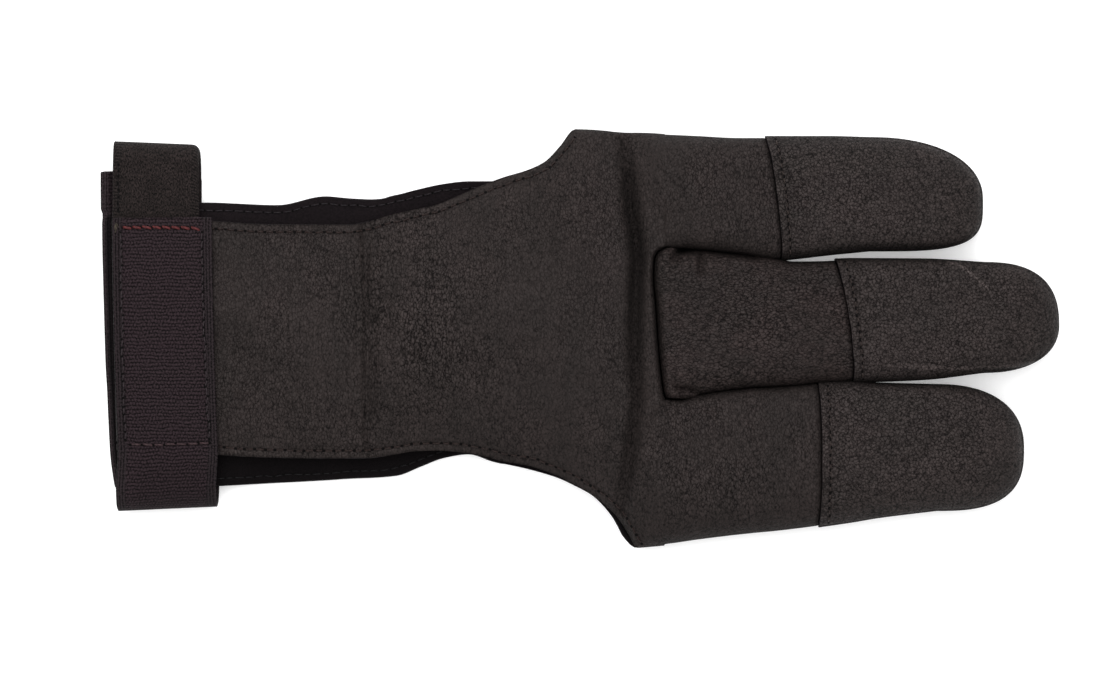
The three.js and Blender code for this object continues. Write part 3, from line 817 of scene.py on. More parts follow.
# Middle finger front.
# A separate piece of the same leather, set into the notch of the front panel. Its seam is turned
# in, so it puffs up from a narrow groove, and it runs on under the middle tip cap.
INSET_GAP = 0.25
INSET_PUFF = 1.9
INSET_CREASES = [
    (
        [(9.8, 22.4, 0.9), (7.6, 22.2, 1.2), (6.2, 21.8, 1.1), (5, 20.6, 0.7), (4.2, 18.8, 0.3)],
        2.6, 1.0, 1.0,
    ),
    ([(5.4, 22.6), (8.0, 22.2)], 2.0, 0.8, 0.4),
    ([(2.4, 21.6), (3.2, 19.6)], -0.6, 1.3, 1.0),
    ([(9.2, 20.6), (9, 18)], -0.5, 1.3, 1.0),
    ([(8.6, 22.4), (14, 22), (20, 21.1), (26, 20)], 1.6, 0.7, 3.0),
    ([(11.2, 22, 1.2), (11.2, 18.6, 1), (11, 15, 0.6)], 1.3, 0.65, 1.5),
    ([(5.2, 20), (7, 19.2), (8.6, 19.6)], 0.5, 0.45, 1.2),
    ([(15.5, 20.6), (15.2, 18.5), (14.4, 16)], 0.35, 0.6, 2.0),
    ([(18.5, 20), (18, 17), (18.6, 14)], 0.25, 0.5, 2.0),
    ([(30, 7), (37, 5), (44, 4.6)], 0.22, 0.45, 3.0),
    ([(24, 10.5), (33, 9), (40, 7.6)], 0.22, 0.45, 3.0),
    ([(28, -6), (36, -8.6), (42, -8)], 0.2, 0.45, 3.0),
    ([(3, -11.2, 0.5), (5.2, -12, 1), (7.6, -12.4, 1.1), (10.6, -13.4, 1)], 1.6, 0.55, 1.2),
    ([(4.2, -9), (5.6, -10.6), (5.8, -12)], 0.4, 0.45, 1.5),
    ([(6.4, -12.6), (6.9, -13.8), (6.4, -15)], 0.5, 0.4, 0.8),
    ([(30, 14), (36, 12), (42, 13)], 0.15, 0.9, 3.0),
]


def middle_finger_front():
    """The finger's front from its seam in the notch to under the cap, puffed up from the seam."""
    columns = even_columns(52)
    across = middle_finger.skin(NOTCH_START, columns, True)[:, 1]
    share = (across - across[-1]) / (across[0] - across[-1])
    base = read(notch_path, "x", share) + INSET_GAP
    xs, rows = up_to_cap(middle_finger, 0.0, columns, 90)
    squeezed = np.clip(xs / middle_finger.cap_edge(columns), 0, 1)
    xs = xs + base * (1 - squeezed)
    level = rows[..., 2]
    rows = np.stack([xs, rows[..., 1], level], axis=-1)
    puff = np.clip((xs - base) / INSET_PUFF, 0, 1)
    rows[..., 2] = mix(NOTCH_HEIGHT - 0.4, level, np.sqrt(1 - (1 - puff) ** 2))
    rows[..., 2] += unevenness(rows, 3.1, 0.5, 0.25)
    # Painted shade darkens the creases.
    shade = press(rows, INSET_CREASES, darker=0.2)
    # A painted shadow in front of the cap's edge.
    shade -= crease(rows, under_cap_edge(middle_finger), *CAP_FOOT_SHADOW)
    return leather_wall(
        "middle_finger_leather", rows, LEATHER, 1, shade=shade, side_shade=SIDE_SHADE
    )


inset_leather = grained_leather(
    "wrinkled_fine_grain_leather", "#1e1a19", "#241e1d", 0.7, 0.14, 1.25, 0.5, (1.5, 1, 1), 0.7
)
inset = middle_finger_front()
dress(inset, (inset_leather, flesh_side), "middle_finger_front")


# Back panel.
# One piece of the same leather under the hand and the three fingers, slit between them. The flesh
# side shows where it stands out past the front panel. It lies on the band at the wrist.
BAND_WIDTH = 24.6
BACK_SEAT = 3.3
SEAT_FADE = 14
WEB_LEAD = 8
back_edges = table(
    "at thumb little",
    [0, 0.642, -0.714],
    [0.16, 0.651, -0.709],
    [0.294, 0.642, -0.695],
    [0.384, 0.685, -0.683],
    [0.432, 0.675, -0.675],
    [0.473, 0.671, -0.671],
    [0.518, 0.695, -0.661],
    [0.562, 0.724, -0.618],
    [0.607, 0.748, -0.575],
    [0.652, 0.76, -0.558],
    [0.698, 0.76, -0.594],
    [0.764, 0.805, -0.632],
    [0.818, 0.897, -0.673],
    [0.851, 0.998, -0.712],
    [0.883, 1, -0.757],
    [0.905, 0.998, -0.81],
    [0.924, 0.993, -0.873],
    [0.942, 0.988, -0.959],
    [0.965, 0.988, -1.007],
    [1, 0.983, -0.995],
)


def back_height(place, v):
    """Height of the back panel's outer face, pressed flat in the middle and curled at its rims."""
    rim = by_side(hand_sections, "rim", place, v) * SEAM_BOTTOM
    roll = by_side(hand_sections, "roll", place, v)
    seat = BACK_SEAT * (1 - smooth(BAND_WIDTH, BAND_WIDTH + SEAT_FADE, place * HAND_LENGTH))
    curl = mix(v**6, 1 - rolled(v), roll)
    return seat + np.maximum(0, (rim + PRESSED) * curl - PRESSED)


def tip_steps(count):
    """How far round a fingertip each row is, at even angles, up to 1 on its outline."""
    return [math.sin(math.pi / 2 * k / count) for k in range(1, count + 1)]


def back_panel():
    """The back of the hand, one sheet as far as the webs, and the three fingers' backs."""
    columns = even_columns(32)
    fingers = (index_finger, middle_finger, ring_finger)

    def row(x, tip=0.0):
        return np.concatenate([one.skin(x, columns, False, tip=tip) for one in fingers])

    roots = row(0.0)
    share = (roots[0, 1] - roots[:, 1]) / (roots[0, 1] - roots[-1, 1])
    along = np.linspace(-HAND_LENGTH, 0, 130)
    hand = []
    for x in along:
        place = x / HAND_LENGTH + 1
        thumb, little = read(back_edges, "thumb", place), read(back_edges, "little", place)
        y = mix(thumb, little, share) * HALF_KNUCKLE
        z = mix(back_height(place, 1 - 2 * share), roots[:, 2], smooth(-WEB_LEAD, CROTCH, x))
        hand.append(np.stack([np.full_like(y, x), y, z], axis=-1))
    webs = []
    for x in np.linspace(0, CROTCH, 9)[1:]:
        points = row(x)
        across = (points[0, 1] - points[:, 1]) / (points[0, 1] - points[-1, 1])
        low = np.minimum(back_height(1.0, 1 - 2 * across), points[:, 2])
        points[:, 2] = mix(low, points[:, 2], smooth(-WEB_LEAD, CROTCH, x))
        webs.append(points)
    straight = [
        np.concatenate([one.skin(mix(CROTCH, one.straight, share), columns, False) for one in fingers])
        for share in np.linspace(0, 1, 70)[1:]
    ]
    tips = [
        np.concatenate([one.skin(one.straight, columns, False, tip=tip) for one in fingers])
        for tip in tip_steps(16)
    ]
    rows = np.stack(hand + webs + straight + tips)
    slit = np.zeros((rows.shape[0] - 1, rows.shape[1] - 1), bool)
    for k in range(1, len(fingers)):
        slit[len(hand) + len(webs) - 1 :, k * len(columns) - 1] = True
    # Less light reaches the little finger's side, under the palm.
    inner_shade = mix(0.45, 1.0, smooth(-20, 20, rows[..., 1]))
    return leather_wall("back_panel_leather", rows, LEATHER, -1, slit, inner_shade=inner_shade)


back_leather = grained_leather("fine_grain_back_leather", "#1c1716", "#211b1a", 0.75, 0.07, 0.6, 0.56)
back = back_panel()
dress(back, (back_leather, flesh_side), "back_panel")


# Tip caps.
# Heavier leather with a coarse pebbled grain, sewn over the last joint of each finger. The cap's
# edge is skived thin, and its row of stitches runs close behind it.
SKIVED = 0.55
SKIVED_OVER = 4
CAP_MARGIN = 2.1
WORN_LINE = [(58, -6.4), (66, -7.1), (76, -7.4), (84, -7.2), (92, -6.6), (96, -5.6)]
SCRATCH = [(72.6, 19), (75.4, 18.3), (78, 16.4), (80.6, 13.9), (82.6, 12)]
# Marks are rubbed in only on top, between these heights from nothing to full.
MARKS_FROM = (10.5, 12.5)
# Above the seam, on a cap's open sides and tip, painted shade darkens the foot and a painted
# highlight marks the line where the light catches.
FOOT_SHADE = 0.3
FOOT_RISE = (2.8, 1.5)
CATCH_LIGHT = 0.3
CATCH_RISE = 4
CATCH_WIDTH = 0.7


def cap_line(one):
    """The line that a cap's stitches follow."""
    v = np.linspace(0.94, -0.94, 40)
    return one.skin(one.cap_edge(v) + CAP_MARGIN, v, True, grow=CAP_PROUD)[:, :2]


def tip_cap(name, one, seed, hidden, marks=()):
    """A finger's cap. Hidden is how much painted shade darkens the side against the next finger, and
    marks are the lines rubbed pale on it, each with its strength and half width."""
    columns = even_columns(70)
    along_edge = np.stack([columns * 6, columns * 0, columns * 0], axis=-1)
    edge = one.cap_edge(columns) + rumple(along_edge, 1.5, 0.22, seed)
    lead = np.arange(0, SKIVED_OVER, 0.3)
    rest = np.linspace(0, 1, int((one.straight - one.cap_edge(0.0) - SKIVED_OVER) / 0.5) + 2)
    onwards = [mix(edge + SKIVED_OVER, one.straight, share) for share in rest]
    xs = np.stack([edge + step for step in lead] + onwards)
    body = one.skin(xs, np.broadcast_to(columns, xs.shape), True, grow=CAP_PROUD)
    tips = [
        one.skin(one.straight, columns, True, grow=CAP_PROUD, tip=tip) for tip in tip_steps(36)
    ]
    rows = np.concatenate([body, np.stack(tips)])
    thick = mix(SKIVED, CAP_LEATHER, smooth(0, SKIVED_OVER, rows[..., 0] - edge))
    rows[..., 2] += unevenness(rows, seed, 0.4, 0.2)
    # Painted shade darkens the stitched dent.
    shade = press(rows, (), [cap_line(one)])
    for line, strength, width in marks:
        shade += crease(rows, line, strength, width, 3.0) * smooth(*MARKS_FROM, rows[..., 2])
    # Painted shade at the foot of the open sides and tip, and a painted highlight above it.
    open_side = np.where(columns > 0, not one.inner_thumb, not one.inner_little)
    outline = open_side | (rows[..., 0] > one.straight)
    rise = rows[..., 2] - SEAM_TOP
    caught = CATCH_LIGHT * np.exp(-(((rise - CATCH_RISE) / CATCH_WIDTH) ** 2))
    shade += outline * (caught - FOOT_SHADE * smooth(*FOOT_RISE, rise))
    # Painted shade on the side against the next finger.
    shade *= shaded_side(one, columns, hidden)
    return leather_wall(name, rows, thick, 1, shade=shade, side_shade=CAP_SIDE_SHADE)


cap_leather = grained_leather(
    "pebbled_cap_leather", "#231f1e", "#282322", 0.85, 0.14, 1.1, 0.48, patchy=0.85
)
middle_marks = [(WORN_LINE, 0.9, 0.4), (SCRATCH, 2.4, 0.2)]
index_cap = tip_cap("index_cap_leather", index_finger, 1.7, 0.4)
middle_cap = tip_cap("middle_cap_leather", middle_finger, 5.2, 0.18, middle_marks)
ring_cap = tip_cap("ring_cap_leather", ring_finger, 8.9, 0.0)
dress(index_cap, (cap_leather, flesh_side), "index_tip_cap")
dress(middle_cap, (cap_leather, flesh_side), "middle_tip_cap")
dress(ring_cap, (cap_leather, flesh_side), "ring_tip_cap")


# Closure tape.
# Loop-faced tape tucked under the front panel's thumb edge at the wrist. It folds round the thumb
# side and runs back beneath the band, which it grips.
CLEARANCE = 0.3
TAPE_START = -135.4
TAPE_WIDTH = 21.4
TAPE_THICKNESS = 1.2
TAPE_SELVEDGE = 2.0
TAPE_RIB = 0.8
TAPE_REACH = 49.5
TAPE_TUCK = 6
TAPE_END = -2
TAPE_SAG = 0.8
TAPE_CORNER = 2.0
FOLD = 6
# Below this height a band of cloth is in its return run, under the glove.
UPPER_RUN = 6
# A band is this share of its thickness at its very edge, and whole from here inwards.
THIN_EDGE = 0.6
FULL_FROM = 1.2


def wrist_top(x, y):
    """Height of the front panel at a place over the wrist."""
    place = np.clip(x / HAND_LENGTH + 1, 0, 1)
    thumb = read(front_edges, "thumb", place) * HALF_KNUCKLE
    little = read(front_edges, "little", place) * HALF_KNUCKLE
    return palm_height(place, np.clip(1 - 2 * (thumb - y) / (thumb - little), -1, 1))


def half_turn(top, bottom, count):
    """Shares outwards and heights round a fold, from its upper run to its lower one."""
    turn = np.linspace(0, math.pi, count)[1:-1]
    return np.sin(turn), top + (bottom - top) * (1 - np.cos(turn)) / 2


def cloth(name, route, width, thickness, facing, creases=(), shadow_and_tone=None):
    """A band of cloth. Route gives the places along it for a share of its width, creases are
    rows of stitches that dent its upper run, and shadow_and_tone gives how light it is, with
    painted shadow among it, from its points and their millimetres across and along."""
    shares = (1 - np.cos(np.linspace(0, math.pi, 44))) / 2
    rows = np.stack([route(share) for share in shares], axis=1)
    steps = np.linalg.norm(np.diff(rows[:, len(shares) // 2], axis=0), axis=1)
    along = np.concatenate([[0], np.cumsum(steps)])
    weave = np.stack(np.broadcast_arrays(shares[None, :] * width, along[:, None]), axis=-1)
    below = rows[..., 2] < UPPER_RUN
    level = rows[below, 2]
    shade = press(rows, (), creases)
    rows[below, 2], shade[below] = level, 1.0
    # Painted shadow and the band's tone.
    if shadow_and_tone is not None:
        shade = shade * shadow_and_tone(rows, weave)
    rows[..., 2] += rumple(rows, 7, 0.12, 2.0) * smooth(0.5, 3, rows[..., 2])
    edge = np.minimum(shares, 1 - shares) * width
    thin = thickness * mix(THIN_EDGE, 1.0, smooth(0, FULL_FROM, edge))
    return leather_wall(name, rows, thin[None, :], facing, shade=shade, inner_shade=shade, weave=weave)


def tape_route(share):
    """The tape's path: tucked under the palm's edge, out, round the fold and back beneath."""
    x = TAPE_START + TAPE_WIDTH * share
    edge = read(front_edges, "thumb", 0.0) * HALF_KNUCKLE
    under = LEATHER + CLEARANCE
    tucked_y = np.linspace(edge - TAPE_TUCK, edge, 9)
    tucked = wrist_top(x, tucked_y) - under
    into_corner = np.clip((share - 1) * TAPE_WIDTH / TAPE_CORNER + 1, 0, 1)
    reach = TAPE_REACH - 0.9 * share - TAPE_CORNER * (1 - math.sqrt(1 - into_corner**2))
    turn_y = reach - FOLD
    upper_y = np.linspace(edge, turn_y, 26)[1:]
    upper = mix(tucked[-1], tucked[-1] - TAPE_SAG, np.linspace(0, 1, 26)[1:])
    out, fold = half_turn(upper[-1], 0, 17)
    back_y = np.linspace(turn_y, TAPE_END, 40)
    y = np.concatenate([tucked_y, upper_y, turn_y + FOLD * out, back_y])
    z = np.concatenate([tucked, upper, fold, np.zeros_like(back_y)])
    return np.stack([np.full_like(y, x), y, z], axis=-1)


def weave_place(tree):
    """The place in a band's cloth, and its parts across and along, in millimetres."""
    place = add_node(tree, "UVMap", {"uv_map": "weave"})
    split = add_node(tree, "SeparateXYZ", None, {0: place})
    return place, split.outputs["X"], split.outputs["Y"]


def selvedge(tree, across, width, margin):
    """1 in the body of a band and 0 in the firm strips along its two edges."""
    offset = add_node(tree, "Math", {"operation": "SUBTRACT", 1: width / 2}, {0: across})
    distance = add_node(tree, "Math", {"operation": "ABSOLUTE"}, {0: offset})
    limit = width / 2 - margin
    settings = {**EASED, 1: limit - 0.25, 2: limit + 0.25, 3: 1, 4: 0}
    return add_node(tree, "MapRange", settings, {0: distance})


def loop_tape():
    """Brushed loop pile, flattened and matted to a dull brown-black felt, with a flat woven strip
    along each edge. Loops of 0.2 mm are too fine to show, and are drawn at a third of a
    millimetre across the tape and two thirds along it."""
    material, tree, shader = new_material("loop_pile_tape")
    place, across, along = weave_place(tree)
    body = selvedge(tree, across, TAPE_WIDTH, TAPE_SELVEDGE)
    combed = add_node(tree, "Mapping", {"Scale": (1, 0.5, 1)}, {"Vector": place})
    loops = add_node(tree, "TexNoise", {"Scale": 1 / 0.33, "Roughness": 0.8}, {"Vector": combed})
    pile = add_node(tree, "MapRange", {**EASED, 1: 0.3, 2: 0.7}, {0: loops})
    settings = {"operation": "MULTIPLY", 1: 2 * math.pi / TAPE_RIB}
    turned = add_node(tree, "Math", settings, {0: along})
    ribs = add_node(tree, "Math", {"operation": "SINE"}, {0: turned})
    thinner = add_node(tree, "Math", {"operation": "MULTIPLY", 1: 0.9}, {0: pile})
    woven = add_node(tree, "Math", {"operation": "MULTIPLY_ADD", 1: 0.22}, {0: ribs, 2: thinner})
    raised = add_node(tree, "Mix", {"data_type": "FLOAT"}, {0: body, 2: woven, 3: pile})
    settings = {"Scale": 1 / 4, "Detail": 3, "Roughness": 0.6}
    matted = add_node(tree, "TexNoise", settings, {"Vector": place})
    cloudy = add_node(tree, "MapRange", {**EASED, 1: 0.3, 2: 0.7}, {0: matted})
    settings = {"data_type": "RGBA", 6: linear("#1b1615"), 7: linear("#231d1c")}
    brown = add_node(tree, "Mix", settings, {0: cloudy}).outputs[2]
    settings = {"data_type": "RGBA", 6: linear("#1e1918")}
    colour = add_node(tree, "Mix", settings, {0: body, 7: brown}).outputs[2]
    depth = add_node(tree, "MapRange", {**EASED, 3: 0.05, 4: 1.75}, {0: raised})
    height = add_node(tree, "Math", {"operation": "MULTIPLY", 1: 0.2}, {0: raised})
    dull = add_node(tree, "Math", {"operation": "MULTIPLY_ADD", 1: 0.06, 2: 0.88}, {0: raised})
    finish(tree, shader, colour, depth, height, dull)
    shader.inputs["Specular IOR Level"].default_value = 0.08
    shader.inputs["Sheen Weight"].default_value = 0.04
    return material


tape = cloth("closure_tape_cloth", tape_route, TAPE_WIDTH, TAPE_THICKNESS, 1)
tape_backing = suede("tape_backing", "#1a1515", "#221c1c")
dress(tape, (loop_tape(), tape_backing), "closure_tape")


# Elastic band.
# Ribbed elastic webbing sewn across the wrist on the front panel. It folds round the little
# finger's side and runs back under the glove to the closure tape.
BAND_START = -133.7
BAND_THICKNESS = 1.5
BAND_DROP = 42.9
BAND_END = 41.7
BAND_SKEW = 1.5
# How far the return run slants towards the arm, with the wider hook tab at its end.
return_skew = table(
    "at x",
    [-43, -0.5],
    [-36, -2.1],
    [-27.9, -3.1],
    [9.6, -4.5],
    [28.9, -4.9],
    [31.2, -4.7],
    [31.9, -5.2],
    [41.7, -5.3],
)
BAND_SEAT = TAPE_THICKNESS + CLEARANCE
SEAT_RAMP = 12
# Pitches of the ribs across the band and of the rubber along it, and the strips at its edges.
RIB = 0.9
WALE = 0.8
EDGE_CORD = 0.75
BAND_SELVEDGE = 2.2
PATCH_TOP, PATCH_BOTTOM = 29.95, -27.87
# Rows of points along the band: on the patch, beside it, round the fold and on the return run.
BAND_STEPS = (110, 13, 17, 70)
strap_rows = [
    np.array([(-132.7, 27.5), (-126, 27.65), (-120, 27.6), (-113.3, 27.2)]),
    np.array([(-130.7, -26.4), (-125, -26.5), (-119, -26.2), (-111.0, -26)]),
    np.array([(-133.2, 26.4), (-132.7, 10), (-132.3, -8), (-131.8, -25.2)]),
    np.array([(-113.0, 26.4), (-112.4, 8), (-111.7, -8), (-111.1, -25)]),
]


def band_route(share):
    """The band's path: the patch sewn on the palm, out, round the fold and back beneath."""
    patch_steps, side_steps, fold_steps, return_steps = BAND_STEPS
    x = BAND_START + BAND_WIDTH * share
    over = CLEARANCE + BAND_THICKNESS
    patch_y = np.linspace(PATCH_TOP, PATCH_BOTTOM, patch_steps)
    patch = wrist_top(x, patch_y) + over
    drop = BAND_DROP + 0.3 - 1.1 * share
    turn_y = -drop + FOLD
    upper_y = np.linspace(PATCH_BOTTOM, turn_y, side_steps + 1)[1:]
    out, fold = half_turn(patch[-1], 0, fold_steps + 2)
    back_y = np.linspace(turn_y, BAND_END, return_steps)
    seat = BAND_SEAT * smooth(TAPE_END - SEAT_RAMP, TAPE_END - SEAT_RAMP / 4, back_y)
    y = np.concatenate([patch_y, upper_y, turn_y - FOLD * out, back_y])
    z = np.concatenate([patch, np.full(side_steps, patch[-1]), fold, seat])
    on_patch = -BAND_SKEW * np.linspace(1, 0, patch_steps)
    beside = np.linspace(0, -0.5, side_steps)
    returning = read(return_skew, "x", back_y) - 1.2 * smooth(-28, 28, back_y) * share
    skew = np.concatenate([on_patch, beside, np.full(fold_steps, -0.5), returning])
    return np.stack([x + skew, y, z], axis=-1)


def ridges(tree, place, pitch):
    """Rounded ridges a pitch apart, as heights from 0 to 1."""
    turned = add_node(tree, "Math", {"operation": "MULTIPLY", 1: math.pi / pitch}, {0: place})
    swing = add_node(tree, "Math", {"operation": "SINE"}, {0: turned})
    return add_node(tree, "Math", {"operation": "ABSOLUTE"}, {0: swing})


def elastic_webbing():
    """Knitted elastic, a dull mauve-black: fuzzy ribs that sway across the band, broken by the
    wales of rubber, and plain cords along its two firm edges. The fuzz, far finer in fact, is
    drawn at half a millimetre."""
    material, tree, shader = new_material("ribbed_elastic_webbing")
    place, across, along = weave_place(tree)
    body = selvedge(tree, across, BAND_WIDTH, BAND_SELVEDGE)
    sway = add_node(tree, "TexNoise", {"Scale": 1 / 4}, {"Vector": place})
    bent = add_node(tree, "Math", {"operation": "MULTIPLY_ADD", 1: 1.3}, {0: sway, 2: along})
    ribs = ridges(tree, bent, RIB)
    worn = add_node(tree, "TexNoise", {"Scale": 1 / 0.5, "Roughness": 0.75}, {"Vector": place})
    fuzz = add_node(tree, "MapRange", {**EASED, 1: 0.3, 2: 0.7, 3: -0.45, 4: 0.45}, {0: worn})

    # In the body each rib's loops stand half a wale further across than the last one's.
    counted = add_node(tree, "Math", {"operation": "DIVIDE", 1: RIB}, {0: bent})
    row = add_node(tree, "Math", {"operation": "FLOOR"}, {0: counted})
    settings = {"operation": "MULTIPLY_ADD", 1: WALE * 0.5}
    shifted = add_node(tree, "Math", settings, {0: row, 2: across})
    wales = ridges(tree, shifted, WALE)
    settings = {"operation": "MULTIPLY_ADD", 1: 0.7, 2: 0.3}
    loops = add_node(tree, "Math", settings, {0: wales})
    knit = add_node(tree, "Math", {"operation": "MULTIPLY"}, {0: ribs, 1: loops})
    knitted = add_node(tree, "Math", {"operation": "ADD"}, {0: knit, 1: fuzz})

    cords = ridges(tree, across, EDGE_CORD)
    bound = add_node(tree, "Math", {"operation": "MULTIPLY_ADD", 1: 0.4, 2: 0.6}, {0: ribs})
    woven = add_node(tree, "Math", {"operation": "MULTIPLY"}, {0: cords, 1: bound})
    firm = add_node(tree, "Math", {"operation": "MULTIPLY_ADD", 1: 1.2}, {0: fuzz, 2: woven})
    raised = add_node(tree, "Mix", {"data_type": "FLOAT"}, {0: body, 2: firm, 3: knitted})

    settings = {"data_type": "RGBA", 6: linear("#221a1d"), 7: linear("#2a2124")}
    mauve = add_node(tree, "Mix", settings, {0: worn}).outputs[2]
    settings = {"data_type": "RGBA", 6: linear("#231d1f")}
    colour = add_node(tree, "Mix", settings, {0: body, 7: mauve}).outputs[2]
    depth = add_node(tree, "MapRange", {**EASED, 1: -0.15, 3: 0.15, 4: 1.44}, {0: raised})
    height = add_node(tree, "Math", {"operation": "MULTIPLY", 1: 0.24}, {0: raised})
    dull = add_node(tree, "Math", {"operation": "MULTIPLY_ADD", 1: 0.15, 2: 0.75}, {0: worn})
    finish(tree, shader, colour, depth, height, dull)
    shader.inputs["Specular IOR Level"].default_value = 0.08
    return material


def band_shadow_and_tone(rows, weave):
    """The fold is darker than the patch. A painted shadow darkens the return run, which lies in the
    patch's shade, apart from its lighter edge, and less on the hook tab at its end. The limits
    are millimetres."""
    across, level, y = weave[..., 0], rows[..., 2], rows[..., 1]
    folded = 1 - 0.15 * smooth(-27, -34, y) * smooth(2, 7, across)
    below = smooth(8, 5, level) * smooth(-38, -34, y)
    tab = smooth(30.6, 31.4, y)
    run = mix(1.25, mix(0.3, 0.5, tab), smooth(mix(0.6, 1.8, tab), mix(1.1, 2.3, tab), across))
    return mix(folded, run, below)


band = cloth("elastic_band_cloth", band_route, BAND_WIDTH, BAND_THICKNESS, -1, strap_rows, band_shadow_and_tone)
webbing = elastic_webbing()
dress(band, (webbing, webbing), "elastic_band")


# Stitches.
# Rows of lock stitch in bonded polyester thread: brown on the palm and the caps, grey on the back
# panel, where the row along the little finger's side is drawn near-black with painted shade, black
# on the tape, and on the strap red-brown along its top, mauve along its foot and dark grey down its
# sides. Each stitch dips into its needle holes, drawn as near-black discs of painted shade.

# In millimetres: a thread's radius, a hole's, how deep a stitch's ends sink, and how far a hole's
# disc of painted shade stands off the surface.
THREAD = 0.19
HOLE = 0.46
SINK = 0.28
HOLE_LIFT = 0.02
# How flat a thread lies, and how many sides the threads and the holes have.
FLATTENED = 0.8
THREAD_SIDES = 6
HOLE_SIDES = 8
# How far off the floor, in metres, a line starts that looks for the place of a stitch.
SIGHT_START = 0.05
# A stitch between its sunk ends: share of its length, height above the surface, thickness.
STITCH_ARCH = [(0.1, 0.02, 0.95), (0.3, 0.13, 1), (0.5, 0.17, 1), (0.7, 0.13, 1), (0.9, 0.02, 0.95)]


def bonded_thread(name, dark, light):
    """Twisted thread with a low sheen, its two plies a slant pattern. Plies of 0.2 mm are too
    fine to show, and are drawn at about 0.6 mm."""
    material, tree, shader = new_material(name)
    place = object_millimetres(tree)
    settings = {"bands_direction": "DIAGONAL", "Scale": 0.55, "Distortion": 1.5, "Detail": 1.0}
    plies = add_node(tree, "TexWave", settings, {"Vector": place}).outputs["Fac"]
    fibres = add_node(tree, "TexNoise", {"Scale": 1 / 0.5}, {"Vector": place})
    settings = {"data_type": "RGBA", 6: linear(dark), 7: linear(light)}
    colour = add_node(tree, "Mix", settings, {0: fibres}).outputs[2]
    depth = add_node(tree, "MapRange", {**EASED, 3: 0.7, 4: 1.1}, {0: plies})
    height = add_node(tree, "Math", {"operation": "MULTIPLY", 1: 0.04}, {0: plies})
    gloss = add_node(tree, "Math", {"operation": "MULTIPLY_ADD", 1: 0.2, 2: 0.4}, {0: fibres})
    finish(tree, shader, colour, depth, height, gloss)
    shader.inputs["Specular IOR Level"].default_value = 0.12
    return material


def surface_of(piece):
    """A piece's faces, for finding where a stitch meets them."""
    points = [v.co for v in piece.data.vertices]
    return BVHTree.FromPolygons(points, [p.vertices[:] for p in piece.data.polygons])


def even_points(line, pitch):
    """Places at equal steps along a line, as near to a pitch apart as fits it."""
    line = np.asarray(line, float)
    length = np.concatenate([[0], np.cumsum(np.linalg.norm(np.diff(line, axis=0), axis=1))])
    count = max(int(round(length[-1] / pitch)), 1)
    at = np.linspace(0, length[-1], count + 1)
    return np.stack([np.interp(at, length, line[:, k]) for k in range(line.shape[1])], axis=-1)


def stitched(
    name, lines, surface, thread, pitch, radius=THREAD, wander=0.05, from_above=True, seed=1,
    hole=HOLE, slant=0.0, sink=SINK, bare=0.05,
):
    """Stitches along lines on a surface, with a dark disc of painted shade for the needle hole at
    each end of each stitch. Wander is how unevenly the holes stand, slant how far a stitch's ends
    stand off its line, as they do where threads twist, and bare the share of its length that each
    end leaves free."""
    chance = np.random.default_rng(seed)
    profile = [(0, -sink, 0.8), *STITCH_ARCH, (1, -sink, 0.8)]
    down = Vector((0, 0, -1 if from_above else 1))
    vertices, faces, index = [], [], []

    def drop(x, y):
        """The place on the surface over or under a point, and which way it faces there."""
        start = Vector((x * MM, y * MM, -SIGHT_START * down.z)) + glove_shift
        spot, normal, _, _ = surface.ray_cast(start, down)
        if spot is None:
            return None, None
        return spot, normal if normal.dot(down) < 0 else -normal

    def ring(centre, run, normal, size):
        """Adds the points round a thread, and gives their numbers."""
        side = run.cross(normal).normalized()
        start = len(vertices)
        for k in range(THREAD_SIDES):
            turn = 2 * math.pi * k / THREAD_SIDES
            reach = side * math.cos(turn) + normal * math.sin(turn) * FLATTENED
            vertices.append(centre + reach * size * MM)
        return list(range(start, start + THREAD_SIDES))

    for line in lines:
        holes = even_points(line, pitch)
        holes[1:-1] += chance.normal(0, wander, holes[1:-1].shape)
        for x, y in holes:
            spot, normal = drop(x, y)
            if spot is None:
                continue
            # A near-black disc of painted shade where the needle hole is.
            side = normal.orthogonal().normalized()
            other = normal.cross(side)
            start = len(vertices)
            for k in range(HOLE_SIDES):
                turn = 2 * math.pi * k / HOLE_SIDES
                reach = side * math.cos(turn) + other * math.sin(turn)
                vertices.append(spot + reach * hole * MM + normal * HOLE_LIFT * MM)
            faces.append(list(range(start, start + HOLE_SIDES)))
            index.append(1)
        for a, b in zip(holes[:-1], holes[1:]):
            run = Vector((*(b - a), 0)).normalized()
            rings = []
            aside = np.array([-run.y, run.x]) * slant
            for along, lift, size in profile:
                t = mix(bare, 1 - bare, along)
                spot, normal = drop(*(mix(a, b, t) + aside * (0.5 - t)))
                if spot is None:
                    break
                rings.append(ring(spot + normal * lift * MM, run, normal, radius * size))
            if len(rings) < len(profile):
                continue
            for one, two in zip(rings[:-1], rings[1:]):
                for k in range(THREAD_SIDES):
                    after = (k + 1) % THREAD_SIDES
                    faces.append([one[k], one[after], two[after], two[k]])
                    index.append(0)
            faces.extend([rings[0][::-1], rings[-1]])
            index.extend([0, 0])
    mesh = bpy.data.meshes.new(name)
    mesh.from_pydata([tuple(v) for v in vertices], [], faces)
    mesh.polygons.foreach_set("material_index", index)
    mesh.polygons.foreach_set("use_smooth", [i == 0 for i in index])
    mesh.attributes.new("shade", "FLOAT", "POINT").data.foreach_set("value", [1.0] * len(vertices))
    piece = bpy.data.objects.new(name, mesh)
    bpy.context.scene.collection.objects.link(piece)
    for material in (thread, needle_hole_shade):
        mesh.materials.append(material)
    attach(piece, "root")
    return piece


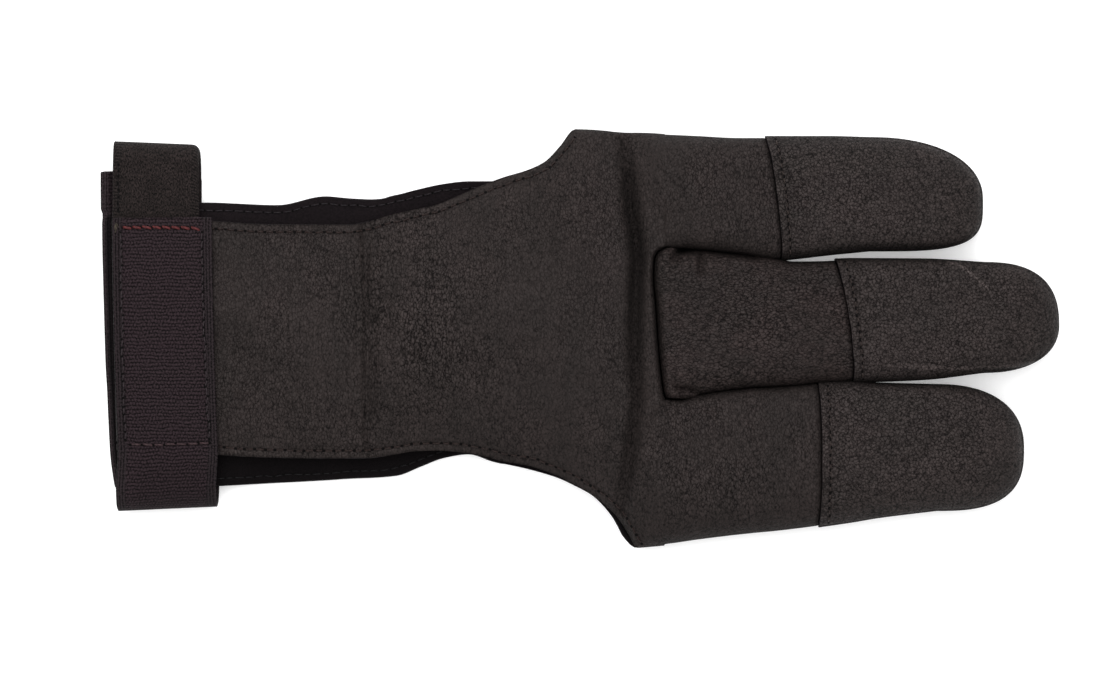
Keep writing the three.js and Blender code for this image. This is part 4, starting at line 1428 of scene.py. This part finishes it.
# Near-black discs of painted shade stand where the needle holes are.
needle_hole_shade = suede("needle_hole_shade", "#040303", "#070606")
brown_thread = bonded_thread("brown_thread", "#1b1413", "#2a1e1b")
cap_thread = bonded_thread("cap_thread", "#231d1b", "#342c29")
grey_thread = bonded_thread("grey_thread", "#131012", "#252023")
# Black thread on the tape; on the back panel's little-finger side it stands for the grey thread
# darkened with painted shade.
black_and_shaded_thread = bonded_thread("black_and_shaded_thread", "#0a090a", "#131113")
red_brown_thread = bonded_thread("red_brown_thread", "#351315", "#572828")
mauve_thread = bonded_thread("mauve_thread", "#251b1d", "#403032")
side_thread = bonded_thread("side_thread", "#1a1517", "#332b2e")
loose_thread = bonded_thread("loose_thread", "#29241f", "#3e382f")

panel_surface = surface_of(panel)
band_surface = surface_of(band)
back_surface = surface_of(back)
stitched(
    "palm_edge_stitches", front_rows, panel_surface, brown_thread, 2.45, 0.17, 0.12, seed=3,
    hole=0.43, bare=0.12,
)
for name, cap, one in (
    ("index_cap_stitches", index_cap, index_finger),
    ("middle_cap_stitches", middle_cap, middle_finger),
    ("ring_cap_stitches", ring_cap, ring_finger),
):
    stitched(name, [cap_line(one)], surface_of(cap), cap_thread, 1.95, 0.17, 0.08, seed=5, bare=0.2)
thumb_row = edge_line(back_edges, "thumb", 0.8, 1.7)
little_row = edge_line(back_edges, "little", 0.9, 1.7)
stitched(
    "back_thumb_edge_stitches", [thumb_row], back_surface, grey_thread, 2.4, 0.17, 0.12, seed=7,
    hole=0.3,
)
# The little-finger side's row is drawn darker, with painted shade.
stitched(
    "back_little_edge_stitches", [little_row], back_surface, black_and_shaded_thread, 2.4, 0.17, 0.12, seed=8,
    hole=0.3,
)
stitched(
    "back_edge_stitches_below", [thumb_row, little_row], back_surface, grey_thread, 2.4,
    from_above=False, seed=7,
)
stitched(
    "strap_top_stitches", strap_rows[:1], band_surface, red_brown_thread, 2.4, 0.36, 0.05, seed=9,
    hole=0.3, slant=0.5, sink=0.1,
)
stitched(
    "strap_bottom_stitches", strap_rows[1:2], band_surface, mauve_thread, 2.75, 0.26, 0.08,
    seed=11, slant=0.2,
)
stitched(
    "strap_side_stitches", strap_rows[2:], band_surface, side_thread, 2.1, 0.2, 0.16, seed=13,
    slant=0.25,
)
tape_row = np.array([(TAPE_START + 1.3, 32.2), (TAPE_START + 1.3, TAPE_REACH - FOLD)])
stitched(
    "tape_edge_stitches", [tape_row], surface_of(tape), black_and_shaded_thread, 1.6, 0.1, 0.1, seed=15,
    hole=0.34, bare=0.25,
)
# Four loose strands that spread from the strap's corner.
strand_ends = [(-134, 26.5), (-134.4, 26), (-134.7, 26.9), (-133.5, 27.4)]
strands = [np.array([(-134.3, 28.9), end]) for end in strand_ends]
stitched(
    "frayed_thread_end", strands, band_surface, loose_thread, 3.0, 0.12, 0.0, seed=17, hole=0.05
)
